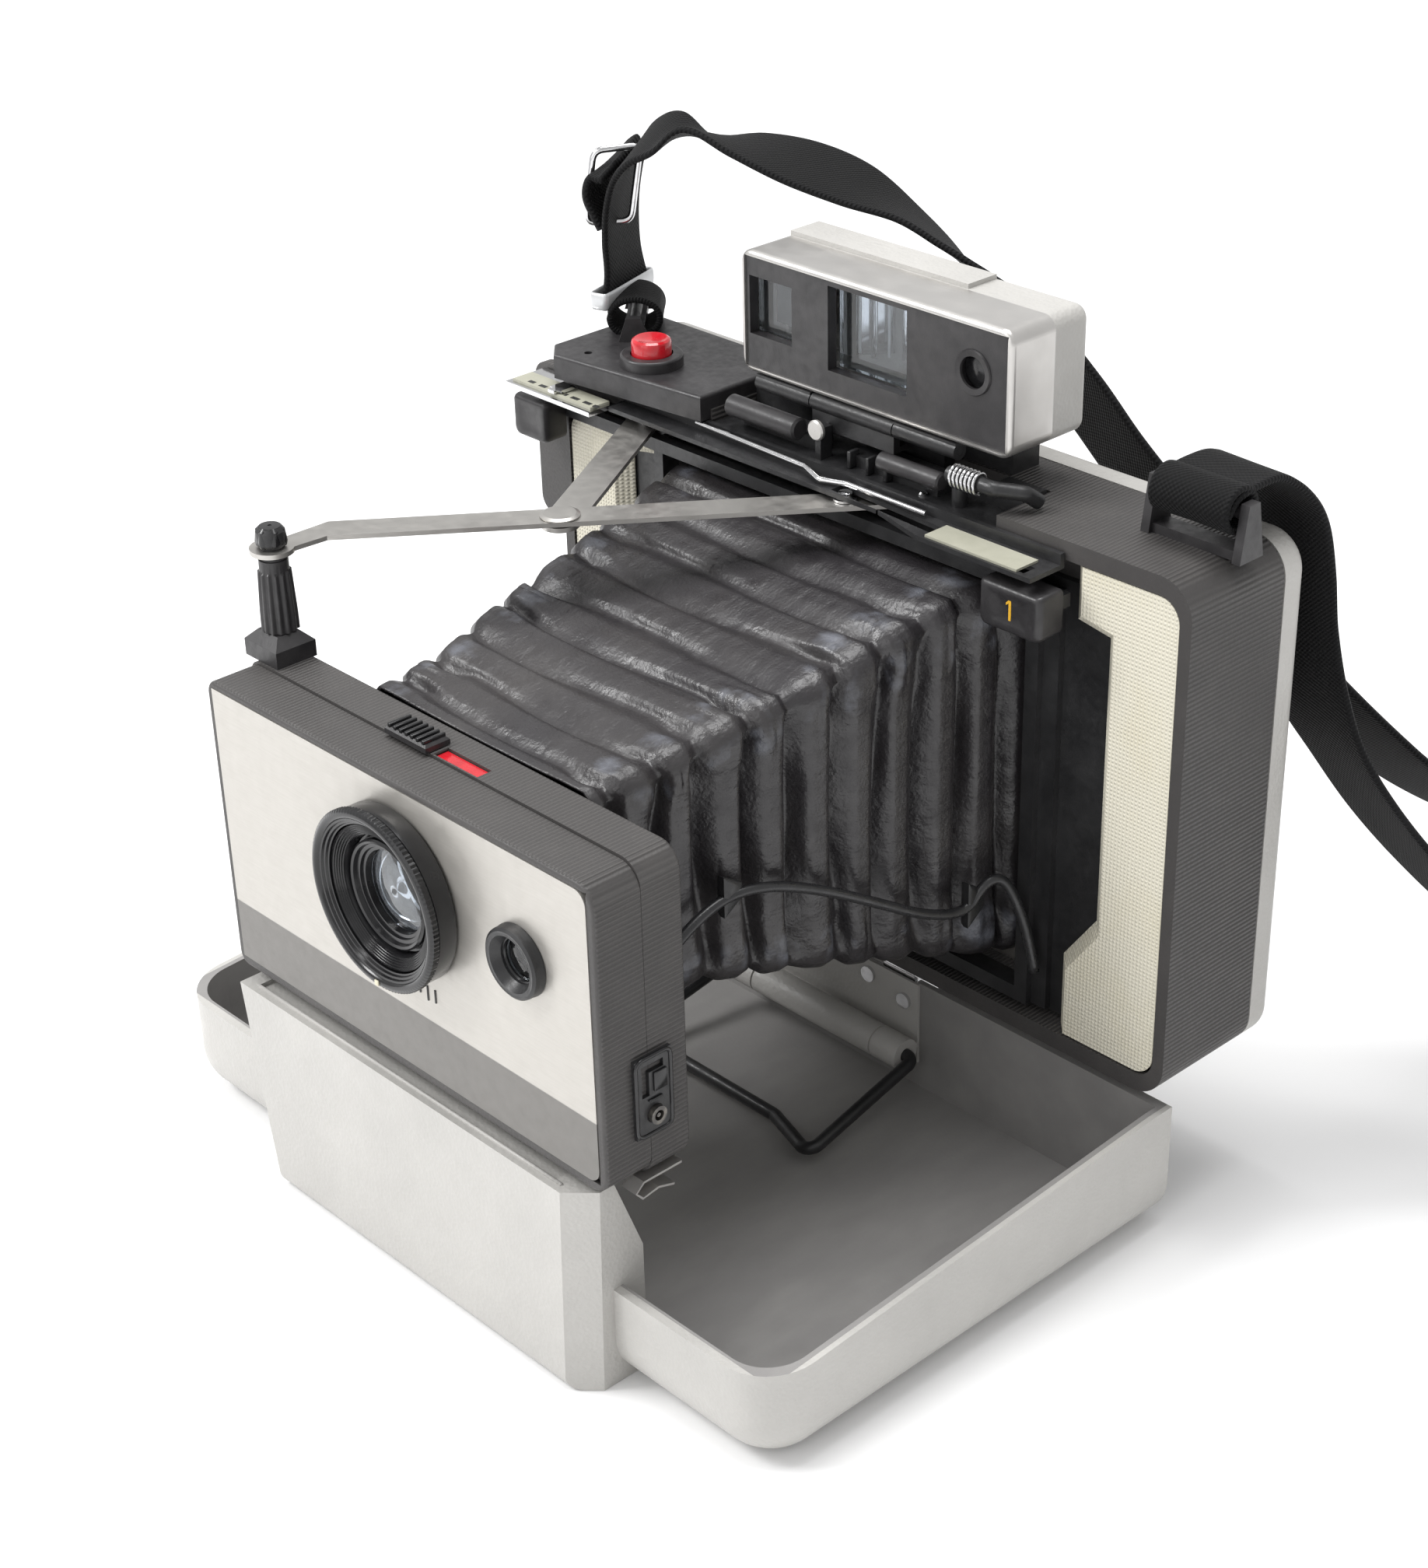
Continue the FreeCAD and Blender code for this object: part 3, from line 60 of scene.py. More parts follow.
# ------------------------------------------------------------------ material building
class Paint:
    """A node material: methods add texture nodes and feed them to the shader."""

    def __init__(self, name, rough, metallic=0.0, **sockets):
        self.mat = bpy.data.materials.new(name)
        self.mat.use_nodes = True
        self.tree = self.mat.node_tree
        self.shader = self.tree.nodes["Principled BSDF"]
        self.shader.inputs["Metallic"].default_value = metallic
        self.shader.inputs["Roughness"].default_value = rough
        for socket, value in sockets.items():
            self.shader.inputs[socket.replace("_", " ")].default_value = value
        coords = self.add("ShaderNodeTexCoord")
        self.place = coords.outputs["Object"]
        self.uv = coords.outputs["UV"]
        self.facing = coords.outputs["Normal"]

    def add(self, kind, **settings):
        node = self.tree.nodes.new(kind)
        for key, value in settings.items():
            setattr(node, key, value)
        return node

    def feed(self, socket, value):
        if isinstance(value, bpy.types.NodeSocket):
            self.tree.links.new(value, socket)
        else:
            socket.default_value = value

    def math(self, operation, a, b=0.0, c=0.0):
        node = self.add("ShaderNodeMath", operation=operation)
        for socket, value in zip(node.inputs, (a, b, c)):
            self.feed(socket, value)
        return node.outputs[0]

    def axes(self, vector=None):
        split = self.add("ShaderNodeSeparateXYZ")
        self.feed(split.inputs[0], vector or self.place)
        return split.outputs

    def stretch(self, scale):
        mapping = self.add("ShaderNodeMapping")
        self.feed(mapping.inputs["Vector"], self.place)
        mapping.inputs["Scale"].default_value = scale
        return mapping.outputs[0]

    def noise(self, size, detail=3.0, vector=None):
        """Noise whose features are about size metres across."""
        node = self.add("ShaderNodeTexNoise")
        self.feed(node.inputs["Vector"], vector or self.place)
        node.inputs["Scale"].default_value = 1 / size
        node.inputs["Detail"].default_value = detail
        node.inputs["Roughness"].default_value = 0.55
        return node.outputs["Fac"]

    def cells(self, size):
        node = self.add("ShaderNodeTexVoronoi")
        self.feed(node.inputs["Vector"], self.place)
        node.inputs["Scale"].default_value = 1 / size
        return node.outputs["Distance"]

    def ramp(self, value, low, high, start=0.0, end=1.0):
        """Maps value from low..high to start..end, clamped."""
        node = self.add("ShaderNodeMapRange")
        for socket, item in zip(node.inputs, (value, low, high, start, end)):
            self.feed(socket, item)
        return node.outputs[0]

    def blend(self, factor, a, b):
        node = self.add("ShaderNodeMix", data_type="RGBA")
        self.feed(node.inputs["Factor"], factor)
        self.feed(node.inputs[6], (*a, 1) if isinstance(a, tuple) else a)
        self.feed(node.inputs[7], (*b, 1) if isinstance(b, tuple) else b)
        return node.outputs[2]

    def colour(self, value):
        self.feed(self.shader.inputs["Base Color"], (*value, 1) if isinstance(value, tuple) else value)
        return self

    def rough(self, value):
        self.feed(self.shader.inputs["Roughness"], value)
        return self

    def bump(self, height, depth):
        """Raises the surface by up to depth metres where height goes from 0 to 1."""
        node = self.add("ShaderNodeBump")
        node.inputs["Strength"].default_value = 1.0
        node.inputs["Distance"].default_value = depth
        self.feed(node.inputs["Height"], height)
        self.tree.links.new(node.outputs[0], self.shader.inputs["Normal"])
        return self


def wave(paint, value, pitch):
    """A smooth wave from 0 to 1 with one crest every pitch metres."""
    turned = paint.math("MULTIPLY", value, 2 * math.pi / pitch)
    return paint.math("MULTIPLY_ADD", paint.math("SINE", turned), 0.5, 0.5)


def dark_moulding():
    """Dark grey plastic, moulded with fine front-to-back ribs on its sides and top; the rib crests are painted
    lighter as a painted highlight.
    """
    paint = Paint("dark_moulding", 0.5)
    x, _, z = paint.axes()
    face = paint.axes(paint.facing)
    sideways = paint.ramp(paint.math("ABSOLUTE", face[0]), 0.75, 0.95)
    upward = paint.ramp(paint.math("ABSOLUTE", face[2]), 0.75, 0.95)
    pitch = 0.00105
    ribs = paint.math("ADD", paint.math("MULTIPLY", wave(paint, z, pitch), sideways),
                      paint.math("MULTIPLY", wave(paint, x, pitch), upward))
    grain = paint.noise(0.0006, 2)
    height = paint.math("MULTIPLY_ADD", grain, 0.25, ribs)
    dust = paint.ramp(paint.noise(0.012, 5), 0.45, 0.8, 0.0, 0.45)
    base = paint.blend(dust, (0.05, 0.047, 0.046), (0.086, 0.08, 0.076))
    # painted highlight: the rib crests are coloured lighter
    paint.colour(paint.blend(paint.math("MULTIPLY", ribs, 0.35), base, (0.112, 0.106, 0.101)))
    paint.rough(paint.ramp(grain, 0.3, 0.7, 0.44, 0.6))
    return paint.bump(height, 0.00022).mat


def smooth_dark():
    """Satin dark grey plastic of the finder's face and the buttons."""
    paint = Paint("smooth_dark", 0.4)
    tone = paint.ramp(paint.noise(0.006, 4), 0.4, 0.75)
    paint.colour(paint.blend(tone, (0.022, 0.0208, 0.0222), (0.038, 0.036, 0.0375)))
    paint.rough(paint.ramp(paint.noise(0.002, 4), 0.35, 0.7, 0.32, 0.5))
    return paint.bump(paint.noise(0.0005, 2), 0.00002).mat


def black_moulding():
    paint = Paint("black_moulding", 0.42)
    tone = paint.ramp(paint.noise(0.008, 5), 0.4, 0.8)
    paint.colour(paint.blend(tone, (0.014, 0.014, 0.015), (0.03, 0.03, 0.031)))
    paint.rough(paint.ramp(paint.noise(0.0015, 3), 0.35, 0.7, 0.3, 0.5))
    return paint.bump(paint.noise(0.0004, 2), 0.00003).mat


def cream_cloth():
    """Cream plastic embossed like fine woven cloth, a little yellowed; the raised threads are painted paler as a
    painted highlight.
    """
    paint = Paint("cream_emboss", 0.55)
    x, _, z = paint.axes()
    pitch = 0.0009
    weave = paint.math("MULTIPLY", wave(paint, x, pitch), wave(paint, z, pitch))
    stain = paint.ramp(paint.noise(0.02, 4), 0.5, 0.85, 0.0, 0.6)
    base = paint.blend(stain, (0.7, 0.665, 0.55), (0.64, 0.58, 0.4))
    # painted highlight: the raised threads of the weave are coloured paler
    paint.colour(paint.blend(paint.math("MULTIPLY", weave, 0.45), base, (0.84, 0.81, 0.7)))
    return paint.bump(weave, 0.00022).mat


def pebbled_grey(name="pebbled_grey", inside=None):
    """Light grey plastic, pebbled outside; inside is a box in metres whose inward faces are smooth and painted
    darker, a painted shade for the shadowed inside of the cover.
    """
    paint = Paint(name, 0.45)
    pebble = paint.cells(0.0009)
    patch = paint.ramp(paint.noise(0.03, 4), 0.35, 0.75)
    shade = paint.blend(patch, (0.44, 0.43, 0.41), (0.5, 0.488, 0.465))
    roughness = paint.ramp(paint.noise(0.004, 4), 0.3, 0.75, 0.34, 0.52)
    height = paint.math("ADD", paint.math("MULTIPLY", pebble, 0.8), paint.noise(0.0025, 3))
    if inside:
        place, face = paint.axes(), paint.axes(paint.facing)
        inward = paint.ramp(face[2], 0.6, 0.7)
        # painted shade: the inward faces inside the box get darker greys, varied at random, that stand in for the
        # shadow inside the cover
        painted_shade_mask = 1.0
        for axis, (low, high) in enumerate(zip(*inside)):
            painted_shade_mask = paint.math("MULTIPLY", painted_shade_mask, paint.math("GREATER_THAN", place[axis], low))
            painted_shade_mask = paint.math("MULTIPLY", painted_shade_mask, paint.math("LESS_THAN", place[axis], high))
            if axis < 2:
                toward = paint.math("SUBTRACT", (low + high) / 2, place[axis])
                toward = paint.math("MULTIPLY", paint.math("SIGN", toward), face[axis])
                inward = paint.math("MAXIMUM", inward, paint.ramp(toward, 0.3, 0.5))
        painted_shade_mask = paint.math("MULTIPLY", painted_shade_mask, inward)
        scuffs = paint.ramp(paint.noise(0.012, 5, paint.stretch((1, 0.4, 1))), 0.4, 0.8)
        shade = paint.blend(painted_shade_mask, shade, paint.blend(scuffs, (0.25, 0.243, 0.238), (0.31, 0.302, 0.293)))
        height = paint.math("MULTIPLY", height, paint.ramp(painted_shade_mask, 0, 1, 1, 0.25))
    paint.colour(shade)
    paint.rough(roughness)
    return paint.bump(height, 0.0001).mat


def satin_face():
    """The satin aluminium face plate with a dark grey band along its foot."""
    paint = Paint("satin_face", 0.38, 0.55)
    _, _, z = paint.axes()
    brush = paint.noise(0.0004, 2, paint.stretch((0.05, 1, 1)))
    band = paint.ramp(z, 66.6 * MM, 66.9 * MM)
    base = paint.blend(brush, (0.45, 0.432, 0.4), (0.52, 0.5, 0.467))
    paint.colour(paint.blend(band, (0.18, 0.173, 0.163), base))
    paint.rough(paint.ramp(paint.noise(0.003, 4), 0.3, 0.7, 0.3, 0.46))
    return paint.bump(brush, 0.00001).mat


def satin_bezel():
    """Bead-blasted aluminium of the finder front, smooth with a few handling marks."""
    paint = Paint("satin_bezel", 0.34, 0.85)
    brush = paint.noise(0.0005, 3, paint.stretch((0.04, 1, 1)))
    marks = paint.ramp(paint.noise(0.02, 5), 0.5, 0.85)
    paint.colour(paint.blend(marks, (0.6, 0.585, 0.565), (0.5, 0.485, 0.465)))
    paint.rough(paint.ramp(paint.noise(0.006, 4), 0.35, 0.75, 0.3, 0.4))
    return paint.bump(brush, 0.000004).mat


def drawn_steel():
    """Drawn steel of the arms and wires with light lengthwise scratches."""
    paint = Paint("drawn_steel", 0.36, 0.95)
    scratch = paint.noise(0.0007, 4, paint.stretch((0.25, 0.25, 1)))
    wear = paint.ramp(paint.noise(0.012, 5), 0.55, 0.85)
    paint.colour(paint.blend(wear, (0.5, 0.485, 0.46), (0.38, 0.365, 0.345)))
    paint.rough(paint.ramp(scratch, 0.3, 0.75, 0.3, 0.46))
    return paint.bump(scratch, 0.00001).mat


def chrome():
    paint = Paint("chrome", 0.12, 1.0)
    paint.colour(paint.blend(paint.ramp(paint.noise(0.004, 5), 0.5, 0.8), (0.7, 0.7, 0.71), (0.5, 0.5, 0.5)))
    paint.rough(paint.ramp(paint.noise(0.002, 4), 0.4, 0.8, 0.08, 0.26))
    return paint.mat


def lens_black():
    """Polished black plastic of the lens mount."""
    paint = Paint("lens_black", 0.2)
    paint.colour(paint.blend(paint.ramp(paint.noise(0.006, 4), 0.4, 0.8), (0.009, 0.009, 0.01), (0.02, 0.02, 0.021)))
    paint.rough(paint.ramp(paint.noise(0.004, 4), 0.35, 0.75, 0.15, 0.27))
    return paint.mat


def coated_rings():
    """Dark glossy baffles seen through the coated glass, with a faint blue cast."""
    paint = Paint("coated_rings", 0.1)
    paint.colour(paint.blend(paint.noise(0.003, 3), (0.006, 0.007, 0.014), (0.02, 0.022, 0.035)))
    paint.rough(paint.ramp(paint.noise(0.002, 3), 0.3, 0.7, 0.05, 0.14))
    return paint.mat


def dark_metal():
    """Blackened brass of the flash socket."""
    paint = Paint("dark_metal", 0.35, 0.9)
    paint.colour(paint.blend(paint.ramp(paint.noise(0.002, 4), 0.45, 0.75), (0.12, 0.115, 0.11), (0.3, 0.28, 0.25)))
    paint.rough(paint.ramp(paint.noise(0.001, 3), 0.3, 0.7, 0.28, 0.45))
    return paint.mat


def red_gloss():
    paint = Paint("red_gloss", 0.2, Coat_Weight=0.5)
    paint.colour(paint.blend(paint.ramp(paint.noise(0.003, 4), 0.45, 0.8), (0.55, 0.012, 0.022),
                             (0.4, 0.008, 0.014)))
    paint.rough(paint.ramp(paint.noise(0.001, 3), 0.4, 0.8, 0.14, 0.34))
    return paint.bump(paint.noise(0.0012, 3), 0.00002).mat


def bellows_cloth():
    """Coated bellows cloth: near black, softly shining, with fine grain; the fold crests are coloured paler and
    bluish, partly real dusty wear and partly painted sheen.
    """
    paint = Paint("bellows_cloth", 0.42, Specular_IOR_Level=0.6)
    crest = paint.add("ShaderNodeAttribute", attribute_name="crest").outputs["Fac"]
    wear = paint.ramp(paint.noise(0.007, 6), 0.48, 0.72)
    dust = paint.ramp(paint.noise(0.03, 4), 0.45, 0.75, 0.0, 0.7)
    base = paint.blend(dust, (0.021, 0.019, 0.021), (0.05, 0.046, 0.045))
    # partly real wear, partly painted sheen: the crests take a pale bluish colour
    rubbed_and_sheen = paint.math("MULTIPLY", paint.ramp(crest, 0.7, 1.0), wear)
    paint.colour(paint.blend(paint.math("MULTIPLY", rubbed_and_sheen, 0.7), base, (0.17, 0.18, 0.21)))
    paint.rough(paint.ramp(paint.noise(0.004, 5), 0.3, 0.75, 0.26, 0.5))
    crease = paint.noise(0.009, 4, paint.stretch((1, 0.35, 1)))
    grain = paint.math("ADD", paint.math("MULTIPLY", paint.noise(0.0007, 3), 0.25),
                       paint.math("MULTIPLY", crease, 2.2))
    return paint.bump(grain, 0.00045).mat


def cable_skin():
    paint = Paint("cable_skin", 0.3)
    paint.colour(paint.blend(paint.noise(0.003, 4), (0.012, 0.012, 0.013), (0.028, 0.028, 0.03)))
    paint.rough(paint.ramp(paint.noise(0.002, 3), 0.3, 0.7, 0.22, 0.42))
    return paint.bump(paint.noise(0.0008, 2), 0.00003).mat


def webbing():
    """Black woven webbing; u runs across the strap and v along it, both in strap widths."""
    paint = Paint("webbing", 0.7, Sheen_Weight=0.03, Specular_IOR_Level=0.18)
    u, v, _ = paint.axes(paint.uv)
    across = paint.math("SINE", paint.math("MULTIPLY", u, 2 * math.pi * 17))
    along = paint.math("SINE", paint.math("MULTIPLY", v, 2 * math.pi * 19))
    weave = paint.math("MULTIPLY_ADD", paint.math("MULTIPLY", across, along), 0.5, 0.5)
    selvedge = paint.ramp(paint.math("ABSOLUTE", u), 0.43, 0.47)
    height = paint.math("ADD", paint.math("MULTIPLY_ADD", paint.noise(0.0004, 3), 0.5, weave),
                        paint.math("MULTIPLY", selvedge, 0.6))
    worn = paint.ramp(paint.noise(0.02, 4), 0.45, 0.8)
    thread = paint.blend(worn, (0.004, 0.004, 0.0045), (0.009, 0.009, 0.01))
    # painted shade: the low places between the threads are coloured near black, the raised ones take the thread
    # colour
    paint.colour(paint.blend(paint.ramp(height, 0.3, 1.3), (0.001, 0.001, 0.0012), thread))
    return paint.bump(height, 0.00022).mat


def clear_glass(name, tint):
    paint = Paint(name, 0.02, Transmission_Weight=1.0, IOR=1.5)
    paint.colour(paint.blend(paint.ramp(paint.noise(0.01, 3), 0.4, 0.7), tint, tuple(c * 0.93 for c in tint)))
    return paint.mat


def card():
    """Pale printed scale strip."""
    paint = Paint("scale_card", 0.45)
    paint.colour(paint.blend(paint.noise(0.004, 4), (0.3, 0.3, 0.235), (0.42, 0.41, 0.34)))
    return paint.bump(paint.noise(0.0008, 3), 0.00002).mat


def ink(name, colour):
    paint = Paint(name, 0.5)
    paint.colour(paint.blend(paint.noise(0.0008, 3), colour, tuple(c * 0.8 for c in colour)))
    return paint.mat


def pale_clip():
    paint = Paint("pale_clip", 0.3, 0.35)
    paint.colour(paint.blend(paint.noise(0.003, 4), (0.55, 0.56, 0.57), (0.72, 0.73, 0.74)))
    return paint.bump(paint.noise(0.001, 3), 0.00002).mat


M = {
    "dark_plastic": dark_moulding(), "smooth_dark": smooth_dark(), "black_plastic": black_moulding(),
    "cream_plastic": cream_cloth(), "pale_grey_plastic": pebbled_grey(), "red_plastic": red_gloss(),
    "card": card(), "chrome": chrome(), "arm_steel": drawn_steel(), "pin_steel": chrome(),
    "face_metal": satin_face(), "satin_metal": satin_bezel(), "bellows_cloth": bellows_cloth(),
    "cable_rubber": cable_skin(), "webbing": webbing(), "glass": clear_glass("lens_glass", (0.75, 0.8, 0.85)),
    "battery_case": drawn_steel(), "ink_dark": ink("ink_dark", (0.02, 0.02, 0.02)),
    "ink_cream": ink("ink_cream", (0.7, 0.66, 0.5)), "ink_yellow": ink("ink_yellow", (0.75, 0.42, 0.03)),
    "pale_clip": pale_clip(), "lens_black": lens_black(), "coated_rings": coated_rings(),
    "dark_metal": dark_metal(),
}
# the cover's inward faces carry painted shade
cover_low, cover_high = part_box("front_cover")
M["cover_plastic"] = pebbled_grey("cover_plastic", ((cover_low[0] + 1.2 * MM, -0.1102, 1.2 * MM),
                                                    (cover_high[0] - 1.2 * MM, cover_high[1] - 1.2 * MM, 0.06)))
SMOOTH_DARK_NODES = {"finder_face", "focus_button_left", "focus_button_right", "top_deck", "pivot_post",
                     "film_selector", "strap_lug_left", "strap_lug_right", "door_latch"}

slot_of = {s["node"]: s["material_slot"] for s in frame["record"]["subparts"]}
for name, obj in nodes.items():
    key = "smooth_dark" if name in SMOOTH_DARK_NODES else slot_of[name]
    key = {"front_cover": "cover_plastic", "spring_latch": "satin_metal", "sync_socket": "dark_metal"}.get(name, key)
    for material_slot in obj.material_slots:
        material_slot.material = M[key]


# ------------------------------------------------------------------ mesh building
def tidy_mesh(obj, weld=True):
    """Joins points that lie on each other and turns every face outward."""
    work = bmesh.new()
    work.from_mesh(obj.data)
    if weld:
        bmesh.ops.remove_doubles(work, verts=work.verts, dist=1e-7)
    bmesh.ops.recalc_face_normals(work, faces=work.faces)
    work.to_mesh(obj.data)
    work.free()


def mesh_object(name, verts, faces, material, body, smooth=True):
    """A mesh piece in metres that rides on a body."""
    mesh = bpy.data.meshes.new(name)
    mesh.from_pydata([tuple(v) for v in verts], [], faces)
    mesh.validate()
    mesh.update()
    obj = bpy.data.objects.new(name, mesh)
    bpy.context.scene.collection.objects.link(obj)
    mesh.materials.append(M[material])
    for polygon in mesh.polygons:
        polygon.use_smooth = smooth
    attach(obj, body)
    return obj


def loft(name, rings, material, body, closed=True, caps=True, smooth=True):
    """A skin through rings of equally many points."""
    count = len(rings[0])
    verts = [p for ring in rings for p in ring]
    faces = []
    for row in range(len(rings) - 1):
        for column in range(count if closed else count - 1):
            a = row * count + column
            b = row * count + (column + 1) % count
            faces.append((a, b, b + count, a + count))
    if caps and closed:
        faces.append(tuple(reversed(range(count))))
        faces.append(tuple(range(len(verts) - count, len(verts))))
    obj = mesh_object(name, verts, faces, material, body, smooth)
    tidy_mesh(obj, weld=False)
    return obj


def lathe(name, profile, centre, axis, material, body, steps=96, ripple=None):
    """A closed (radius, height) profile in mm turned about an axis; ripple(radius, height, angle)
    adds to the radius."""
    up = Vector(axis).normalized()
    side = up.orthogonal().normalized()
    other = up.cross(side)
    middle = Vector(centre) * MM
    rings = []
    for step in range(steps):
        angle = 2 * math.pi * step / steps
        out = side * math.cos(angle) + other * math.sin(angle)
        ring = []
        for radius, height in profile:
            extra = ripple(radius, height, angle) if ripple else 0.0
            ring.append(middle + out * ((radius + extra) * MM) + up * (height * MM))
        rings.append(ring)
    count = len(profile)
    verts = [p for ring in rings for p in ring]
    faces = []
    for step in range(steps):
        for column in range(count):
            a, b = step * count + column, step * count + (column + 1) % count
            c, d = (a + count) % (steps * count), (b + count) % (steps * count)
            faces.append((a, b, d, c))
    obj = mesh_object(name, verts, faces, material, body, True)
    tidy_mesh(obj)
    sharp_by_angle(obj, 35)
    return obj


def sharp_by_angle(obj, degrees):
    """Marks edges sharper than an angle, so that smooth shading stops there."""
    work = bmesh.new()
    work.from_mesh(obj.data)
    for edge in work.edges:
        edge.smooth = len(edge.link_faces) == 2 and edge.calc_face_angle(0) < math.radians(degrees)
    work.to_mesh(obj.data)
    work.free()


def block(name, low, high, material, body, bevel=0.2):
    """A block with rounded edges between two corners in mm."""
    work = bmesh.new()
    bmesh.ops.create_cube(work, size=1)
    lo, hi = Vector(low) * MM, Vector(high) * MM
    for vert in work.verts:
        vert.co = Vector(lo[i] + (hi[i] - lo[i]) * (vert.co[i] + 0.5) for i in range(3))
    bmesh.ops.bevel(work, geom=list(work.edges), offset=bevel * MM, segments=2, affect="EDGES", profile=0.5)
    mesh = bpy.data.meshes.new(name)
    work.to_mesh(mesh)
    work.free()
    obj = bpy.data.objects.new(name, mesh)
    bpy.context.scene.collection.objects.link(obj)
    mesh.materials.append(M[material])
    for polygon in mesh.polygons:
        polygon.use_smooth = True
    sharp_by_angle(obj, 50)
    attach(obj, body)
    return obj


def smooth_path(points, per_span=8):
    """Points in mm along a NURBS spline of order 3 with the given control points."""
    curve = bpy.data.curves.new("path", "CURVE")
    curve.dimensions = "3D"
    spline = curve.splines.new("NURBS")
    spline.points.add(len(points) - 1)
    for target, point in zip(spline.points, points):
        target.co = (*point, 1)
    spline.order_u = 3
    spline.use_endpoint_u = True
    spline.resolution_u = per_span
    obj = bpy.data.objects.new("path", curve)
    mesh = bpy.data.meshes.new_from_object(obj)
    found = [v.co.copy() for v in mesh.vertices]
    bpy.data.objects.remove(obj)
    bpy.data.curves.remove(curve)
    bpy.data.meshes.remove(mesh)
    return found


def tube(name, points, radius, material, body, sides=16):
    """A round rod in mm along a path that is already smooth."""
    rings = []
    previous = None
    for index, point in enumerate(points):
        ahead = (points[min(index + 1, len(points) - 1)] - points[max(index - 1, 0)]).normalized()
        across = previous - ahead * previous.dot(ahead) if previous else ahead.orthogonal()
        across.normalize()
        previous = across
        up = ahead.cross(across)
        rings.append([(point + (across * math.cos(t) + up * math.sin(t)) * radius) * MM
                      for t in (2 * math.pi * k / sides for k in range(sides))])
    return loft(name, rings, material, body)


def through(points, per_span=8):
    """A Catmull-Rom line through vectors."""
    line = []
    for index in range(len(points) - 1):
        p0, p1 = points[max(index - 1, 0)], points[index]
        p2, p3 = points[index + 1], points[min(index + 2, len(points) - 1)]
        for step in range(per_span):
            t = step / per_span
            line.append(0.5 * (2 * p1 + (p2 - p0) * t + (2 * p0 - 5 * p1 + 4 * p2 - p3) * t ** 2
                               + (3 * p1 - p0 - 3 * p2 + p3) * t ** 3))
    line.append(points[-1])
    return line


def strap_mesh(name, stations, width, thick, body, per_span=10, seed=1):
    """A woven strap along stations of (place, outward normal) in mm, thicker in the middle, with selvedges."""
    rng = random.Random(seed)
    places = through([Vector(p) for p, _ in stations], per_span)
    outs = through([Vector(n).normalized() for _, n in stations], per_span)
    section = [(-1, 0), (-0.97, 0.42), (-0.88, 0.5), (-0.45, 0.46), (0, 0.44), (0.45, 0.46), (0.88, 0.5),
               (0.97, 0.42), (1, 0), (0.97, -0.42), (0.88, -0.5), (0.45, -0.46), (0, -0.44), (-0.45, -0.46),
               (-0.88, -0.5), (-0.97, -0.42)]
    rings, lengths, run = [], [], 0.0
    wobble = [rng.uniform(-0.35, 0.35) for _ in range(len(stations) + 2)]
    for index, place in enumerate(places):
        ahead = (places[min(index + 1, len(places) - 1)] - places[max(index - 1, 0)]).normalized()
        across = ahead.cross(outs[index]).normalized()
        out = across.cross(ahead).normalized()
        if index:
            run += (place - places[index - 1]).length
        lengths.append(run / width)
        sway = wobble[index // per_span] * (1 - index % per_span / per_span) \
            + wobble[index // per_span + 1] * (index % per_span / per_span)
        rings.append([(place + across * (a * width / 2) + out * (b * thick + sway * (1 - a * a) * 0.5)) * MM
                      for a, b in section])
    obj = loft(name, rings, "webbing", body)
    layer = obj.data.uv_layers.new(name="UVMap")
    for loop in obj.data.loops:
        row, column = divmod(loop.vertex_index, len(section))
        layer.data[loop.index].uv = (section[column][0] / 2, lengths[row])
    return obj


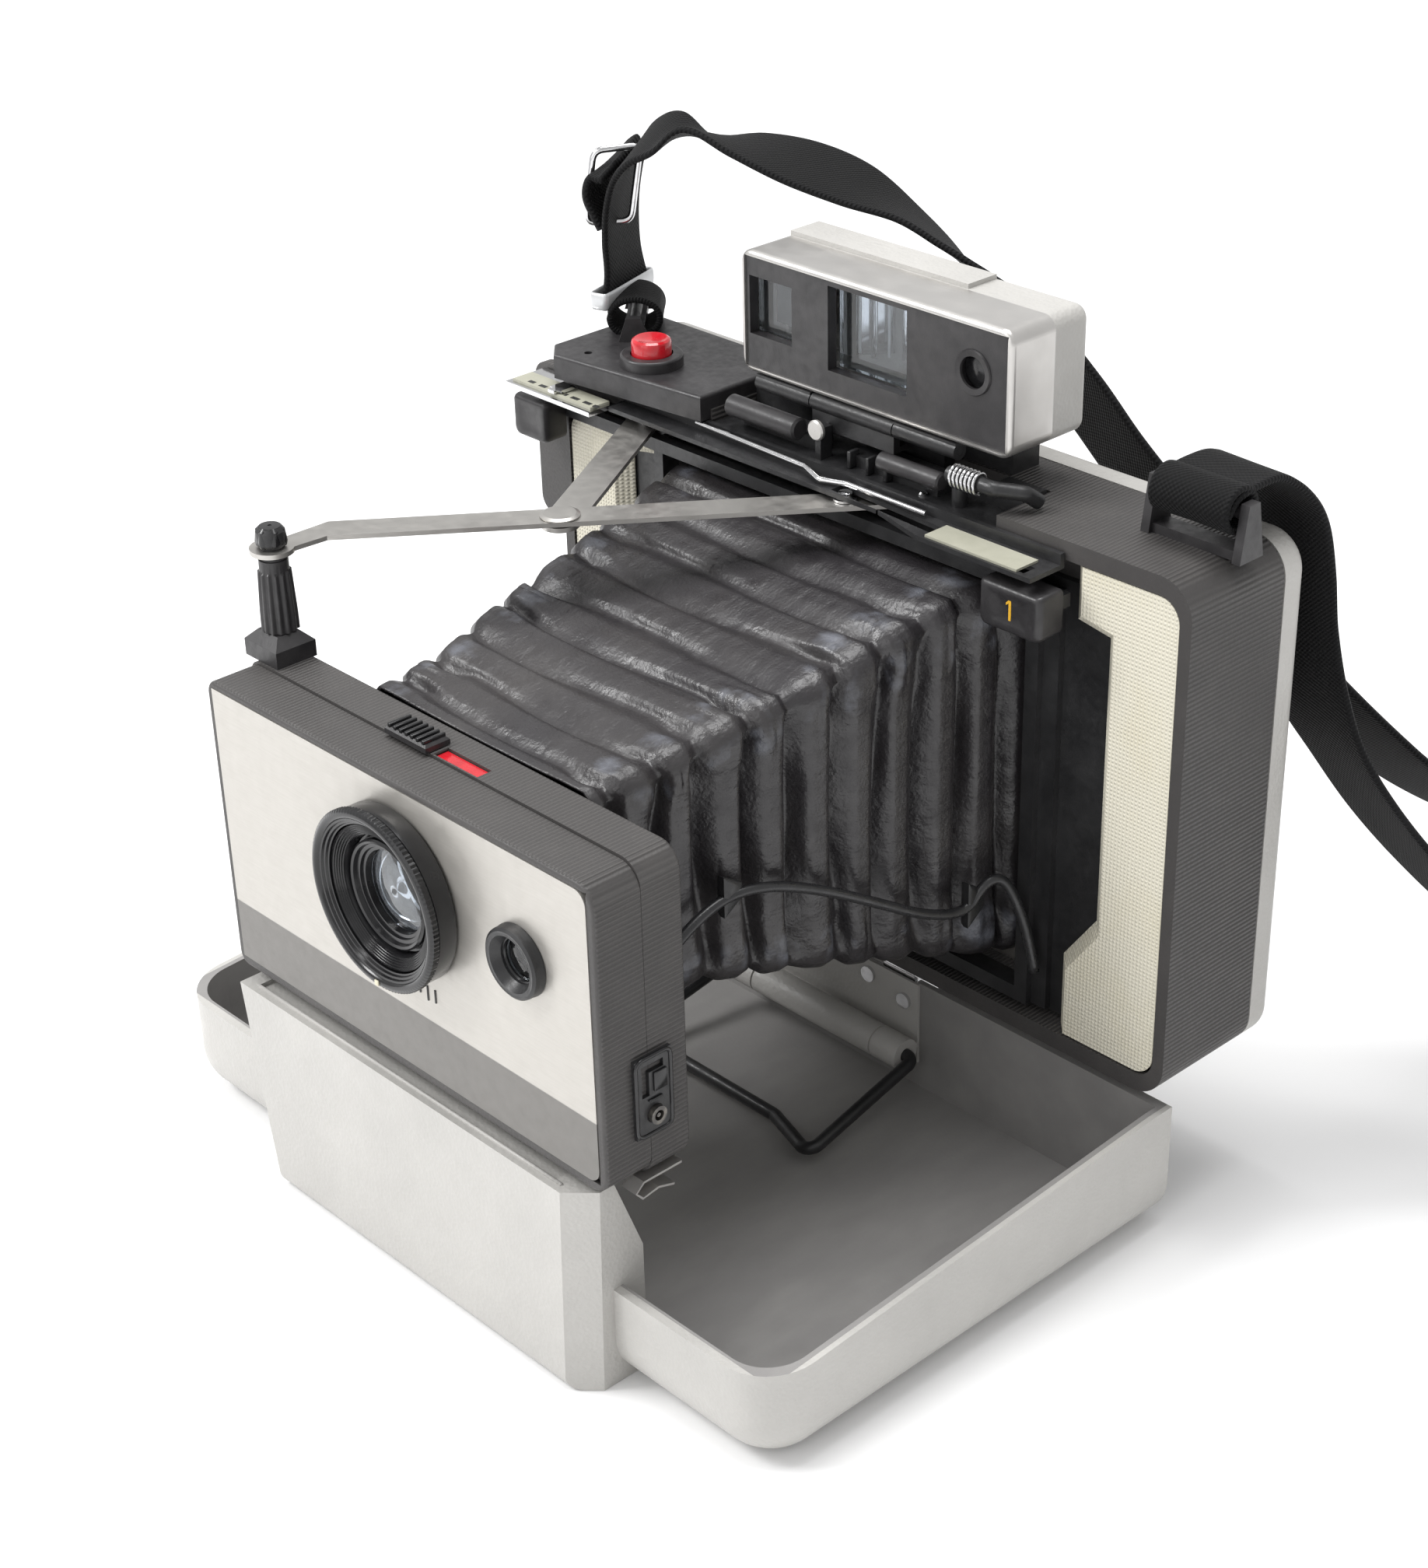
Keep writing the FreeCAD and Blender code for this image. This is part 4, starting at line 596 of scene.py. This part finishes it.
# ------------------------------------------------------------------ bellows
def bellows():
    """Folds of coated cloth between the body and the standard, deep at mid side, puckered along the corners."""
    rng = random.Random(7)
    shape = [  # y, half width, low edge, high edge
        (8.4, 49, 45.2, 134.4), (3, 48.4, 46.2, 134.2), (-9, 45.8, 49.8, 133.0), (-22, 43.8, 53.5, 131.0),
        (-35, 42.2, 57.5, 127.9), (-47, 40.6, 61.2, 125.6), (-58, 38.7, 64, 123.9), (-69, 36.7, 66.4, 122.2),
        (-78, 35, 67.4, 119.9), (-95.6, 33.6, 68.2, 118.6)]

    def at(y):
        for (y0, *a), (y1, *b) in zip(shape, shape[1:]):
            if y >= y1:
                t = (y - y0) / (y1 - y0)
                return [p + (q - p) * t for p, q in zip(a, b)]
        return list(shape[-1][1:])

    folds, steps, side = 10, 16, 26
    back, front = 8.4, -95.6
    drift = [rng.uniform(-1.1, 1.1) for _ in range(folds + 1)]
    drift[0] = drift[-1] = 0
    deep = [rng.uniform(0.75, 1.2) for _ in range(folds + 1)]
    turn = [rng.uniform(0, 6.28) for _ in range(folds * 8 + 8)]
    dent = [rng.uniform(0.2, 1.0) for _ in range(folds * 8 + 8)]
    depth = (4.4, 1.5, 4.4, 3.0)
    outer, crests = [], []
    for row in range(folds * steps + 1):
        fold, phase = divmod(row, steps)
        t = phase / steps
        valley = (0.5 - 0.5 * math.cos(2 * math.pi * t)) ** 3.2
        y = back + (front - back) / folds * (fold + t)
        y += drift[fold] * (1 - t) + drift[min(fold + 1, folds)] * t
        y = max(min(y, back), front)
        half, low, high = at(y)
        ring = []
        for face in range(4):
            cut = 2.4 + 1.1 * valley
            reach = (high - low) / 2 if face in (0, 2) else half
            for k in range(side + 1):
                u = k / side
                bow = math.sin(math.pi * u)
                key = fold * 8 + face * 2 + (u > 0.5)
                pucker = math.exp(-((min(u, 1 - u) - 0.07) / 0.06) ** 2) * dent[key]
                inset = valley * deep[fold] * (0.9 + (depth[face] - 0.9) * min(1, bow * 1.15) ** 0.75)
                pinch = math.exp(-((t - 0.5 - 0.12 * math.sin(turn[key])) / 0.16) ** 2)
                inset += pucker * (2.6 * pinch - 0.9 * (1 - pinch))
                inset += 0.9 * bow * (0.35 + 0.65 * valley) if face != 1 else 0.5 * bow
                inset = max(inset, -0.9 if 0 < fold < folds - 1 else 0.05)
                along = (2 * u - 1) * (reach - cut)
                slide = 1.2 * math.sin(2 * math.pi * u + turn[fold * 8]) * valley
                slide += 0.7 * pucker * math.cos(turn[key])
                if fold in (0, folds - 1):
                    slide *= t if fold == 0 else 1 - t
                slide += 1.6 * pucker * pinch * math.cos(turn[key])
                middle = (low + high) / 2
                x, z = ((half - inset, middle + along), (-along, high - inset), (-half + inset, middle - along),
                        (along, low + inset))[face]
                ring.append(Vector((x, min(back, max(front, y + slide)), z)) * MM)
                crests.append(max(0.0, min(1.0, (1 - valley) * (0.45 + 1.3 * pucker))))
        outer.append(ring)
    wall = 0.7
    inner = []
    for ring in outer:
        middle = sum(ring, Vector()) / len(ring)
        inner.append([p - Vector(((p.x - middle.x) * wall / 44, 0, (p.z - middle.z) * wall / 40)) for p in ring])
    rings = outer + inner[::-1]
    rings.append(outer[0])
    obj = loft("bellows_folds", rings, "bellows_cloth", "camera_body", caps=False)
    # the crest attribute marks fold crests and corner puckers; the cloth colours them paler, partly real wear and
    # partly painted sheen
    worn = obj.data.attributes.new("crest", "FLOAT", "POINT")
    worn.data.foreach_set("value", crests + [0.0] * (len(obj.data.vertices) - len(crests)))
    tidy_mesh(obj)
    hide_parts("bellows")
    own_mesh(obj)


# ------------------------------------------------------------------ cable along the bellows
def cable():
    """The sync cable beside the bellows and its two clips."""
    route = [(37, -95, 74), (38, -86, 78), (38.5, -77, 84.5), (39.2, -68, 87.8), (41.6, -59, 87.4),
             (44, -47.5, 82.6), (46.8, -35, 75.5), (49.2, -22, 67.5), (51, -11.5, 64.5), (52, -7.5, 70.5),
             (53.6, -3.6, 71), (56, -1.8, 65.5), (58.5, -0.6, 57.5), (60, 0, 49)]
    obj = tube("bellows_cable_cord", smooth_path(route, 10), 1.1, "cable_rubber", "camera_body")
    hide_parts("bellows_cable")
    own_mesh(obj)
    for index, (x, y, z, tall) in enumerate(((39.2, -67, 88, 4.6), (51.0, -9.6, 66.5, 5.4))):
        corners = [(-1.4, -tall, 0), (-1.4, tall, 0), (1.6, tall * 0.35, 0), (1.6, -tall * 0.35, 0)]
        rings = [[(Vector((x - 0.6, y, z)) + Vector((off, a * 1.6, b))) * MM for a, b, _ in corners]
                 for off in (-0.9, 0.0, 1.3, 1.7)]
        rings[0] = [p.lerp(sum(rings[0], Vector()) / 4, 0.1) for p in rings[0]]
        rings[-1] = [p.lerp(sum(rings[-1], Vector()) / 4, 0.3) for p in rings[-1]]
        clip = loft(f"cable_clip_{index}", rings, "black_plastic", "camera_body")
        sharp_by_angle(clip, 30)
        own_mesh(clip)


# ------------------------------------------------------------------ neck strap
def strap():
    """The neck strap from lug to lug, clear of the door."""
    stations = [
        ((-84.6, 19, 159), (-0.95, -0.3, 0)), ((-84.3, 18.5, 166), (-0.9, -0.43, 0)),
        ((-84, 18, 174), (-0.9, -0.43, 0)), ((-82.5, 17.6, 182), (-0.88, -0.43, 0.2)),
        ((-79.6, 17.6, 189.6), (-0.8, -0.45, 0.4)), ((-75, 18, 194.8), (-0.5, -0.45, 0.75)),
        ((-69, 19.6, 197.4), (-0.2, -0.3, 0.93)), ((-62, 22.6, 198), (0, 0.4, 0.92)),
        ((-51.6, 27, 196.8), (0.1, 0.1, 1)), ((-39.7, 32, 194), (0.2, -0.1, 1)), ((-29, 37, 190.4), (0.3, 0, 0.95)),
        ((-18, 42, 185), (0.4, 0.4, 0.8)), ((-9, 45.5, 178.6), (0.5, 0.6, 0.6)), ((2, 48, 170.6), (0.4, 0.8, 0.4)),
        ((14, 49, 162.4), (0.3, 1, 0.2)), ((26.4, 49, 153.4), (0.2, 1, 0.2)), ((38, 49, 143.6), (0.2, 1, 0.2)),
        ((50, 50, 133), (0.2, 1, 0.1)), ((62, 53, 121), (0, 1, 0.2)), ((73, 58, 108), (-0.1, 1, 0.3)),
        ((83, 66, 95), (-0.2, 0.9, 0.5)), ((91, 77, 82), (-0.3, 0.6, 0.8)), ((100, 90, 69), (-0.3, 0.2, 0.9)),
        ((113, 102, 54), (-0.1, -0.2, 0.95)), ((128, 110, 38), (0.2, -0.5, 0.85)),
        ((143, 111, 24), (0.3, -0.3, 0.9)),
        ((155.5, 103, 15.6), (0.2, 0.1, 1)), ((158.5, 92, 20), (-0.3, 0.5, 0.8)), ((151, 83, 31), (-0.7, 0.3, 0.7)),
        ((139, 75, 44.6), (-0.7, -0.2, 0.6)), ((126, 67, 58), (-0.6, -0.6, 0.3)),
        ((114, 59.6, 71), (-0.5, -0.8, 0.1)),
        ((104, 53.4, 84), (-0.4, -0.9, 0)), ((96.4, 48.6, 97), (-0.3, -0.95, 0)), ((91, 45, 110), (0, -1, 0)),
        ((88, 42.4, 123), (0.25, -0.96, 0)), ((87, 41.4, 136), (0.2, -0.96, 0)), ((86, 40, 147), (0.1, -0.95, -0.2)),
        ((84.6, 36.5, 155.5), (0, -0.6, -0.8)), ((83.4, 30, 160.6), (0, -0.2, -1)), ((83, 23, 161.4), (0, 0, -1)),
        ((83, 16, 160.6), (0, 0.2, -1)), ((83, 12.8, 157.4), (0, 0.7, -0.7))]
    obj = strap_mesh("neck_strap_webbing", stations, 19, 1.6, "camera_body")
    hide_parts("neck_strap")
    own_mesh(obj)


# ------------------------------------------------------------------ lens, finder and small fittings
LENS_AXIS = (0, -117, 93.6)
CELL_AXIS = (36.4, -117, 94)
POST_AXIS = (-57.5, -100, 0)
BUTTON_AXIS = (-58.5, 3.5, 0)
ROUND_WINDOW = (35, 4.4, 173.8)
FORWARD = (0, -1, 0)
UP = (0, 0, 1)


def lens_parts():
    """The knurled ring, stepped cone, glass and baffles of the lens, and the photocell beside it."""
    def knurl(radius, height, angle):
        return 0.1 * math.cos(angle * 120) if radius > 18.9 and 5.3 < height < 6.7 else 0.0

    ring = lathe("lens_ring_knurled", [
        (16.4, 0.7), (18.4, 0.7), (18.6, 1.0), (18.6, 4.9), (18.3, 5.1), (18.95, 5.35), (18.95, 6.6), (18.5, 7.0),
        (18.0, 7.2), (17.5, 7.15), (17.1, 6.9), (16.9, 6.5), (16.5, 6.4), (16.3, 5.9), (15.9, 5.8), (15.7, 5.3),
        (15.4, 5.2), (15.4, 1.7), (16.4, 1.7)], LENS_AXIS, FORWARD, "lens_black", "exposure_ring", 440, knurl)
    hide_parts("lens_ring")
    steps = []
    radius, height = 15.1, 4.9
    while radius > 12.6:
        steps += [(radius, height), (radius - 0.28, height + 0.12), (radius - 0.36, height - 0.2)]
        radius, height = radius - 0.42, height - 0.26
    lathe("lens_cone", steps + [(12.4, 2.9), (12.2, 1.4), (11.6, 1.2), (11.5, 3.0), (11.1, 3.3), (10.6, 3.1),
                                (10.3, 2.3), (9.6, 2.2), (9.4, 1.6), (8.8, 1.5), (8.6, 0.2), (10.2, -0.2),
                                (13.0, 0.6), (15.1, 1.6)],
          LENS_AXIS, FORWARD, "lens_black", "standard", 160)
    front = lathe("lens_front_element", [(0.05, 1.9), (2.5, 1.75), (5.2, 1.2), (8.5, 0.2), (8.5, -1.2), (5.0, -0.9),
                                         (0.05, -0.6)], LENS_AXIS, FORWARD, "glass", "standard", 96)
    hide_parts("lens_glass")
    lathe("lens_inner_rings", [(8.4, -1.4), (8.4, -2.4), (7.2, -2.6), (7.1, -3.2), (6.0, -3.4), (5.9, -4.0),
                               (4.6, -4.2), (4.5, -4.9), (0.05, -5.0), (0.05, -5.8), (9.4, -5.8), (9.4, -1.4)],
          LENS_AXIS, FORWARD, "coated_rings", "standard", 128)
    for index, (radius, height) in enumerate(((6.9, -2.5), (5.7, -3.3), (4.3, -4.1))):
        lathe(f"lens_glint_{index}", [(radius - 0.14, height), (radius, height + 0.14), (radius + 0.14, height),
                                      (radius, height - 0.14)], LENS_AXIS, FORWARD, "chrome", "standard", 96)
    lathe("photocell_rim", [(5.9, 2.7), (6.7, 2.9), (7.25, 2.5), (7.35, 2.0), (7.3, 0.9), (7.45, 0.6), (7.45, 0.25),
                            (7.22, 0.25), (7.22, 2.3), (6.6, 2.84)],
          CELL_AXIS, FORWARD, "black_plastic", "standard", 96)
    lathe("photocell_baffle", [(4.4, 0.55), (5.3, 0.75), (5.5, 0.4), (5.0, 0.2), (4.5, -0.1), (4.2, 0.2)],
          CELL_AXIS, FORWARD, "lens_black", "standard", 96)
    _, lens_y, lens_z = LENS_AXIS
    block("aperture_dot", (-0.6, lens_y - 7.5, lens_z - 18.5), (0.6, lens_y - 7.12, lens_z - 17.3), "ink_cream",
          "exposure_ring", 0.16)
    for index, (x, tall) in enumerate(((4.2, 2.6), (6.6, 3.4), (9.0, 3.0))):
        block(f"index_mark_{index}", (x - 0.2, lens_y - 0.35, 74.8 - tall), (x + 0.2, lens_y - 0.1, 74.8),
              "ink_dark", "standard", 0.05)


def fluted_post():
    """The fluted stem and six-sided knob of the post at the standard's left."""
    def flutes(radius, height, angle):
        return 0.22 * math.cos(angle * 14) if height < 137 and radius > 3 else 0.0

    lathe("post_fluting", [(2.6, 124.2), (3.75, 124.2), (3.7, 128), (3.3, 136.8), (3.05, 137.2), (3.05, 139.6),
                           (2.6, 139.6)], POST_AXIS, UP, "smooth_dark", "standard", 168, flutes)

    def facets(radius, height, angle):
        return 0.2 * math.cos(angle * 6) if radius > 2.2 else 0.0

    lathe("post_knob", [(0.4, 146.6), (2.2, 146.55), (2.8, 145.9), (3.15, 143.4), (2.95, 142.5), (0.4, 142.5)],
          POST_AXIS, UP, "lens_black", "standard", 144, facets)


def selector_ribs():
    for index in range(7):
        x = -14.0 + index * 1.75
        block(f"selector_rib_{index}", (x, -106.6, 119.7), (x + 0.9, -101.2, 120.7), "lens_black", "selector", 0.2)


def button_parts():
    lathe("button_collar", [(4.9, 151.6), (6.6, 151.6), (6.6, 152.7), (6.1, 153.2), (5.4, 153.2), (4.95, 152.8)],
          BUTTON_AXIS, UP, "smooth_dark", "camera_body", 96)
    low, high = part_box("shutter_button")
    foot, top = low[2] / MM, high[2] / MM
    cap = lathe("button_cap", [(0.05, foot + 0.1), (4.3, foot + 0.1), (4.45, foot + 0.6), (4.45, top - 0.9),
                               (4.25, top - 0.35), (3.7, top), (3.1, top - 0.1), (1.8, top - 0.45),
                               (0.05, top - 0.6)],
                BUTTON_AXIS, UP, "red_plastic", "button", 128)
    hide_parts("shutter_button")


def focus_keys():
    """The two rounded focusing keys, the right one with a plain figure 1."""
    for side in ("left", "right"):
        low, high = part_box(f"focus_button_{side}")
        x0, y0, z0, x1, y1, z1 = (v / MM for v in (*low, *high))
        outline = []
        for cx, cz, start in ((x1 - 1.6, z1 - 1.0, 0), (x0 + 1.6, z1 - 1.0, 1), (x0 + 1.8, z0 + 1.8, 2),
                              (x1 - 1.8, z0 + 1.8, 3)):
            for k in range(6):
                q = math.pi / 2 * (start + k / 5)
                r = 1.0 if start < 2 else 1.8
                outline.append((cx + (0.6 if cx > (x0 + x1) / 2 else -0.6) * (start < 2) + r * math.cos(q),
                                cz + r * math.sin(q)))
        middle = Vector(((x0 + x1) / 2, 0, (z0 + z1) / 2))
        skins = []
        for y, shrink in ((y1, 0.02), (y0 + 1.6, 0.0), (y0 + 0.8, 0.03), (y0 + 0.25, 0.09), (y0, 0.2),
                          (y0 + 0.35, 0.42), (y0 + 0.6, 0.7)):
            skins.append([Vector((x + (middle.x - x) * shrink, y, z + (middle.z - z) * shrink)) * MM
                          for x, z in outline])
        key = loft(f"focus_key_{side}", skins, "smooth_dark", "focus_slide")
        sharp_by_angle(key, 50)
        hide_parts(f"focus_button_{side}")
    low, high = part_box("focus_button_right")
    x, y, z = (low[0] + high[0]) / 2 / MM, low[1] / MM + 0.6, (low[2] + high[2]) / 2 / MM
    stem = [(-0.3, -2.3), (0.3, -2.3), (0.3, 2.3), (-0.2, 2.3), (-1.0, 1.5), (-1.0, 0.95), (-0.3, 1.5)]
    rings = [[Vector((x + a, deep, z + b)) * MM for a, b in stem] for deep in (y - 0.12, y + 0.1)]
    loft("figure_one", rings, "ink_yellow", "focus_slide", smooth=False)


def scale_marks():
    """Short printed strokes of uneven width along the top of the left scale card."""
    low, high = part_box("scale_cards")
    top = high[2] / MM
    front = low[1] / MM
    marks = random.Random(5)
    x = low[0] / MM + 4
    index = 0
    while x < -61:
        wide = marks.uniform(0.8, 2.6)
        block(f"scale_mark_{index}", (x, front + 0.9, top - 0.02), (x + wide, front + 2.0, top + 0.06), "ink_dark",
              "camera_body", 0.02)
        x += wide + marks.uniform(0.7, 2.2)
        index += 1


def ring_of(name, corners, out, across_size, out_size, cut, material, body):
    """A flat bar bent into a closed loop with rounded corners; out is the way its face looks."""
    corners = [Vector(c) for c in corners]
    out = Vector(out).normalized()
    path = []
    for index, here in enumerate(corners):
        before, after = corners[index - 1], corners[(index + 1) % len(corners)]
        first = here + (before - here).normalized() * cut
        last = here + (after - here).normalized() * cut
        for k in range(7):
            t = k / 6
            path.append(first.lerp(here, t).lerp(here.lerp(last, t), t))
    rings = []
    for index, place in enumerate(path):
        ahead = (path[(index + 1) % len(path)] - path[index - 1]).normalized()
        across = ahead.cross(out).normalized()
        rings.append([(place + across * (across_size * math.cos(q)) + out * (out_size * math.sin(q))) * MM
                      for q in (2 * math.pi * (k + 0.5) / 12 for k in range(12))])
    rings.append(rings[0])
    obj = loft(name, rings, material, body, caps=False)
    tidy_mesh(obj)
    return obj


def strap_fittings():
    """The pale keeper band and the slide buckle on the left end of the strap, and the webbing round both lugs."""
    across, out = Vector((0.3, -0.954, 0)), Vector((0.954, 0.3, 0))
    middle = Vector((-84.7, 18.4, 159.4))
    corners = [middle + across * (a * 10.4) + out * (b * 2.0) for a, b in ((1, 1), (1, -1), (-1, -1), (-1, 1))]
    ring_of("strap_keeper", corners, (0, 0, 1), 0.45, 2.0, 0.9, "pale_clip", "camera_body")
    corners = [(-86.2, 9.7, 176.2), (-79.6, 17.4, 176.4), (-77.9, 19.4, 193.2), (-84.6, 11.6, 192.4)]
    buckle = ring_of("strap_buckle", corners, (0.76, -0.65, 0.1), 0.75, 0.6, 2.2, "chrome", "camera_body")
    bar, rim = Vector((-79.6, 17.9, 155.7)), []
    for k in range(19):
        q = math.radians(165 - 345 * k / 18)
        out = Vector((0.707 * math.cos(q), 0.707 * math.cos(q), 0.75 * math.sin(q)))
        rim.append((tuple(bar + out * 5.7), tuple(out)))
    strap_mesh("strap_lug_loop", rim, 13, 1.5, "camera_body", 8, 3)
    fold = strap_mesh("strap_buckle_fold", [
        ((-85.0, 17.6, 176.5), (-0.9, -0.43, 0)), ((-86.4, 16.6, 180), (-0.9, -0.43, 0)),
        ((-87.0, 16.0, 184), (-0.93, -0.38, 0.05)), ((-85.6, 16.6, 188.2), (-0.9, -0.4, 0.3)),
        ((-82.2, 17.4, 190.0), (-0.85, -0.42, 0.4))], 18.6, 1.8, "camera_body", 8, 4)
    for soft in (buckle, fold):
        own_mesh(soft)
    strap_mesh("strap_right_roll", [
        ((83, 20.6, 155.6), (0, 1, -0.3)), ((83, 20.9, 158.8), (0, 1, 0.2)), ((83, 19.2, 161.4), (0, 0.6, 0.8)),
        ((83, 16.4, 162.2), (0, 0, 1)), ((83, 13.4, 161.0), (0, -0.7, 0.7)), ((83, 12.2, 158.0), (0, -1, 0)),
        ((83, 13.4, 155.0), (0, -0.7, -0.7)), ((83, 16.2, 153.9), (0, 0, -1)), ((83, 19.0, 154.6), (0, 0.6, -0.8))],
        19, 1.4, "camera_body", 8, 5)


def finder_inside():
    """What shows through the windows: a pale pane with pale and chrome bars as painted light and painted glints, an
    angled mirror, a black pane, and the round window's back and rim.
    """
    low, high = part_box("finder_window_main")
    x0, x1, z0, z1 = low[0] / MM, high[0] / MM, low[2] / MM, high[2] / MM
    mirror = [(x0 - 1, 15.6), (x0 - 1, 14.8), (x0 + 4, 20.4), (x0 + 4, 21.2)]
    loft("finder_mirror", [[Vector((x, y, z)) * MM for x, y in mirror] for z in (z0 + 0.5, z1 - 1)],
         "chrome", "finder", smooth=False)
    # painted light: the pale pane and the pale and chrome bars stand in for the light and glints seen through the
    # main window
    block("finder_bright_pane", (x0 + 5, 21.6, z0 + 2.4), (x1 - 1.0, 22.0, z1 - 1.8), "pale_clip", "finder", 0.3)
    for index, (left, wide, low_z) in enumerate(((1.2, 0.8, 2), (3.4, 1.6, 1), (6.6, 0.7, 1.5), (9.2, 1.2, 1))):
        depth = 13 + index * 1.6
        block(f"finder_painted_glint_{index}", (x0 + left, depth, z0 + low_z), (x0 + left + wide, depth + 0.4, z1 - 1.2),
              "chrome" if index % 2 else "pale_clip", "finder", 0.12)
    block("finder_dark_pane", (-27.5, 12.5, 167), (-16, 12.9, 178.4), "black_plastic", "finder", 0.1)
    lathe("finder_round_back", [(0.05, -1.4), (2.2, -1.5), (4.0, -2.0), (4.0, -2.6), (0.05, -2.6)],
          ROUND_WINDOW, FORWARD, "lens_black", "finder", 72)
    lathe("finder_round_rim", [(3.3, 0.2), (4.5, 0.35), (4.7, 0), (4.5, -0.4), (3.5, -0.6), (3.2, -0.3)],
          ROUND_WINDOW, FORWARD, "smooth_dark", "finder", 72)


def flash_panel_rim():
    """The raised, round-cornered rim of the flash panel."""
    low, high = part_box("flash_panel")
    x, y0, y1, z0, z1 = (v / MM for v in (high[0], low[1], high[1], low[2], high[2]))
    ring_of("flash_rim", [(x, y0 + 0.2, z0 + 0.2), (x, y1 - 0.2, z0 + 0.2), (x, y1 - 0.2, z1 - 0.2),
                          (x, y0 + 0.2, z1 - 0.2)], (1, 0, 0), 0.45, 0.4, 1.8, "lens_black", "standard")
    steps = ((y0 + 4.4, y1 - 1.4, z0 + 9.4, z1 - 4.0), (y0 + 3.0, y1 - 2.6, z0 + 7.6, z0 + 8.0))
    for index, (ya, yb, za, zb) in enumerate(steps):
        block(f"flash_panel_step_{index}", (x - 0.1, ya, za), (x + 0.45, yb, zb), "lens_black", "standard", 0.15)


def cover_bead():
    """The thin raised bead along the top of the cover's front block."""
    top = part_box("front_cover")[1][2] / MM
    tube("cover_lip_bead", [Vector((x, -117.6, top)) for x in (-54, -30, 0, 30, 45)], 0.45, "pale_grey_plastic",
         "cover", 12)


def mechanism_fittings():
    """Small screws, a roller and the springy tongue of the shutter and rangefinder linkage."""
    screws = ((-12, 10.6, 150.4, 1.0), (10, 7.2, 148.1, 1.1), (18, 6.6, 148.1, 0.9), (24, 2.4, 145.6, 1.0),
              (40, 11, 149.1, 1.2))
    for index, (x, y, z, radius) in enumerate(screws):
        lathe(f"linkage_screw_{index}", [(0.05, 0.75), (radius * 0.7, 0.7), (radius, 0.4), (radius, 0), (0.05, 0)],
              (x, y, z), UP, "chrome", "camera_body", 32)
    lathe("linkage_tube", [(0.05, -8.6), (1.5, -8.6), (1.9, -8.2), (1.9, 8.2), (1.5, 8.6), (0.05, 8.6)],
          (21.5, 1.6, 150.2), (1, 0, 0), "smooth_dark", "camera_body", 48)
    lathe("linkage_roller", [(0.05, -10.5), (1.9, -10.5), (2.4, -10), (2.4, 10), (1.9, 10.5), (0.05, 10.5)],
          (-21, 1.8, 150.3), (1, 0, 0), "smooth_dark", "camera_body", 48)
    for index, (x, wide) in enumerate(((3.2, 1.0), (8.5, 0.9), (13.4, 1.2))):
        block(f"linkage_tab_{index}", (x, 1.6, 145.6), (x + wide, 4.6, 149.4), "black_plastic", "camera_body", 0.25)
    lathe("lever_end", [(0.05, 0.5), (1.9, 0.5), (2.2, 0.2), (2.2, -0.4), (0.05, -0.4)],
          (-4.4, 0.4, 152.2), FORWARD, "satin_metal", "camera_body", 48)


bellows()
cable()
strap()
finder_inside()
mechanism_fittings()
flash_panel_rim()
cover_bead()
lens_parts()
fluted_post()
selector_ribs()
button_parts()
focus_keys()
scale_marks()
strap_fittings()


# ------------------------------------------------------------------ floor, light and camera
def studio():
    work = bmesh.new()
    bmesh.ops.create_grid(work, x_segments=8, y_segments=8, size=4)
    mesh = bpy.data.meshes.new("floor")
    work.to_mesh(mesh)
    work.free()
    floor = bpy.data.objects.new("floor", mesh)
    bpy.context.scene.collection.objects.link(floor)
    floor.location.z = -0.0001
    paint = Paint("floor_paper", 0.75)
    paint.colour(paint.blend(paint.noise(0.3, 3), (0.93, 0.93, 0.93), (0.9, 0.9, 0.905)))
    mesh.materials.append(paint.mat)

    world = bpy.data.worlds.new("studio")
    world.use_nodes = True
    background = world.node_tree.nodes["Background"]
    background.inputs["Color"].default_value = (1, 1, 1, 1)
    background.inputs["Strength"].default_value = 0.68
    bpy.context.scene.world = world
    for name, place, size, power in (("key", (-0.7, -0.8, 1.1), 0.5, 13), ("fill", (0.1, -1.2, 0.6), 1.0, 3),
                                     ("top", (-0.1, 0.1, 1.5), 0.8, 16)):
        light = bpy.data.lights.new(name, "AREA")
        light.size = size
        light.energy = power
        lamp = bpy.data.objects.new(name, light)
        lamp.location = place
        lamp.rotation_euler = (Vector((0.02, -0.03, 0.08)) - Vector(place)).to_track_quat("-Z", "Y").to_euler()
        bpy.context.scene.collection.objects.link(lamp)


def camera():
    """The photograph's viewpoint, by azimuth, elevation and roll."""
    azimuth, elevation, roll = math.radians(47.76), math.radians(29.99), math.radians(-1.6)
    back = Vector((math.sin(azimuth) * math.cos(elevation), -math.cos(azimuth) * math.cos(elevation),
                   math.sin(elevation)))
    level = Vector((math.cos(azimuth), math.sin(azimuth), 0))
    rise = back.cross(level)
    right = level * math.cos(roll) + rise * math.sin(roll)
    up = rise * math.cos(roll) - level * math.sin(roll)
    data = bpy.data.cameras.new("camera")
    data.lens = 65.53
    data.shift_x, data.shift_y = 0.0008, 0.0405
    data.clip_start, data.clip_end = 0.01, 20
    eye = bpy.data.objects.new("camera", data)
    eye.matrix_world = Matrix((
        (right.x, up.x, back.x, 0.38896), (right.y, up.y, back.y, -0.38883), (right.z, up.z, back.z, 0.37259),
        (0, 0, 0, 1)))
    bpy.context.scene.collection.objects.link(eye)
    bpy.context.scene.camera = eye


studio()
camera()
bpy.context.scene.view_settings.view_transform = "Standard"
bpy.context.scene.view_settings.look = "None"
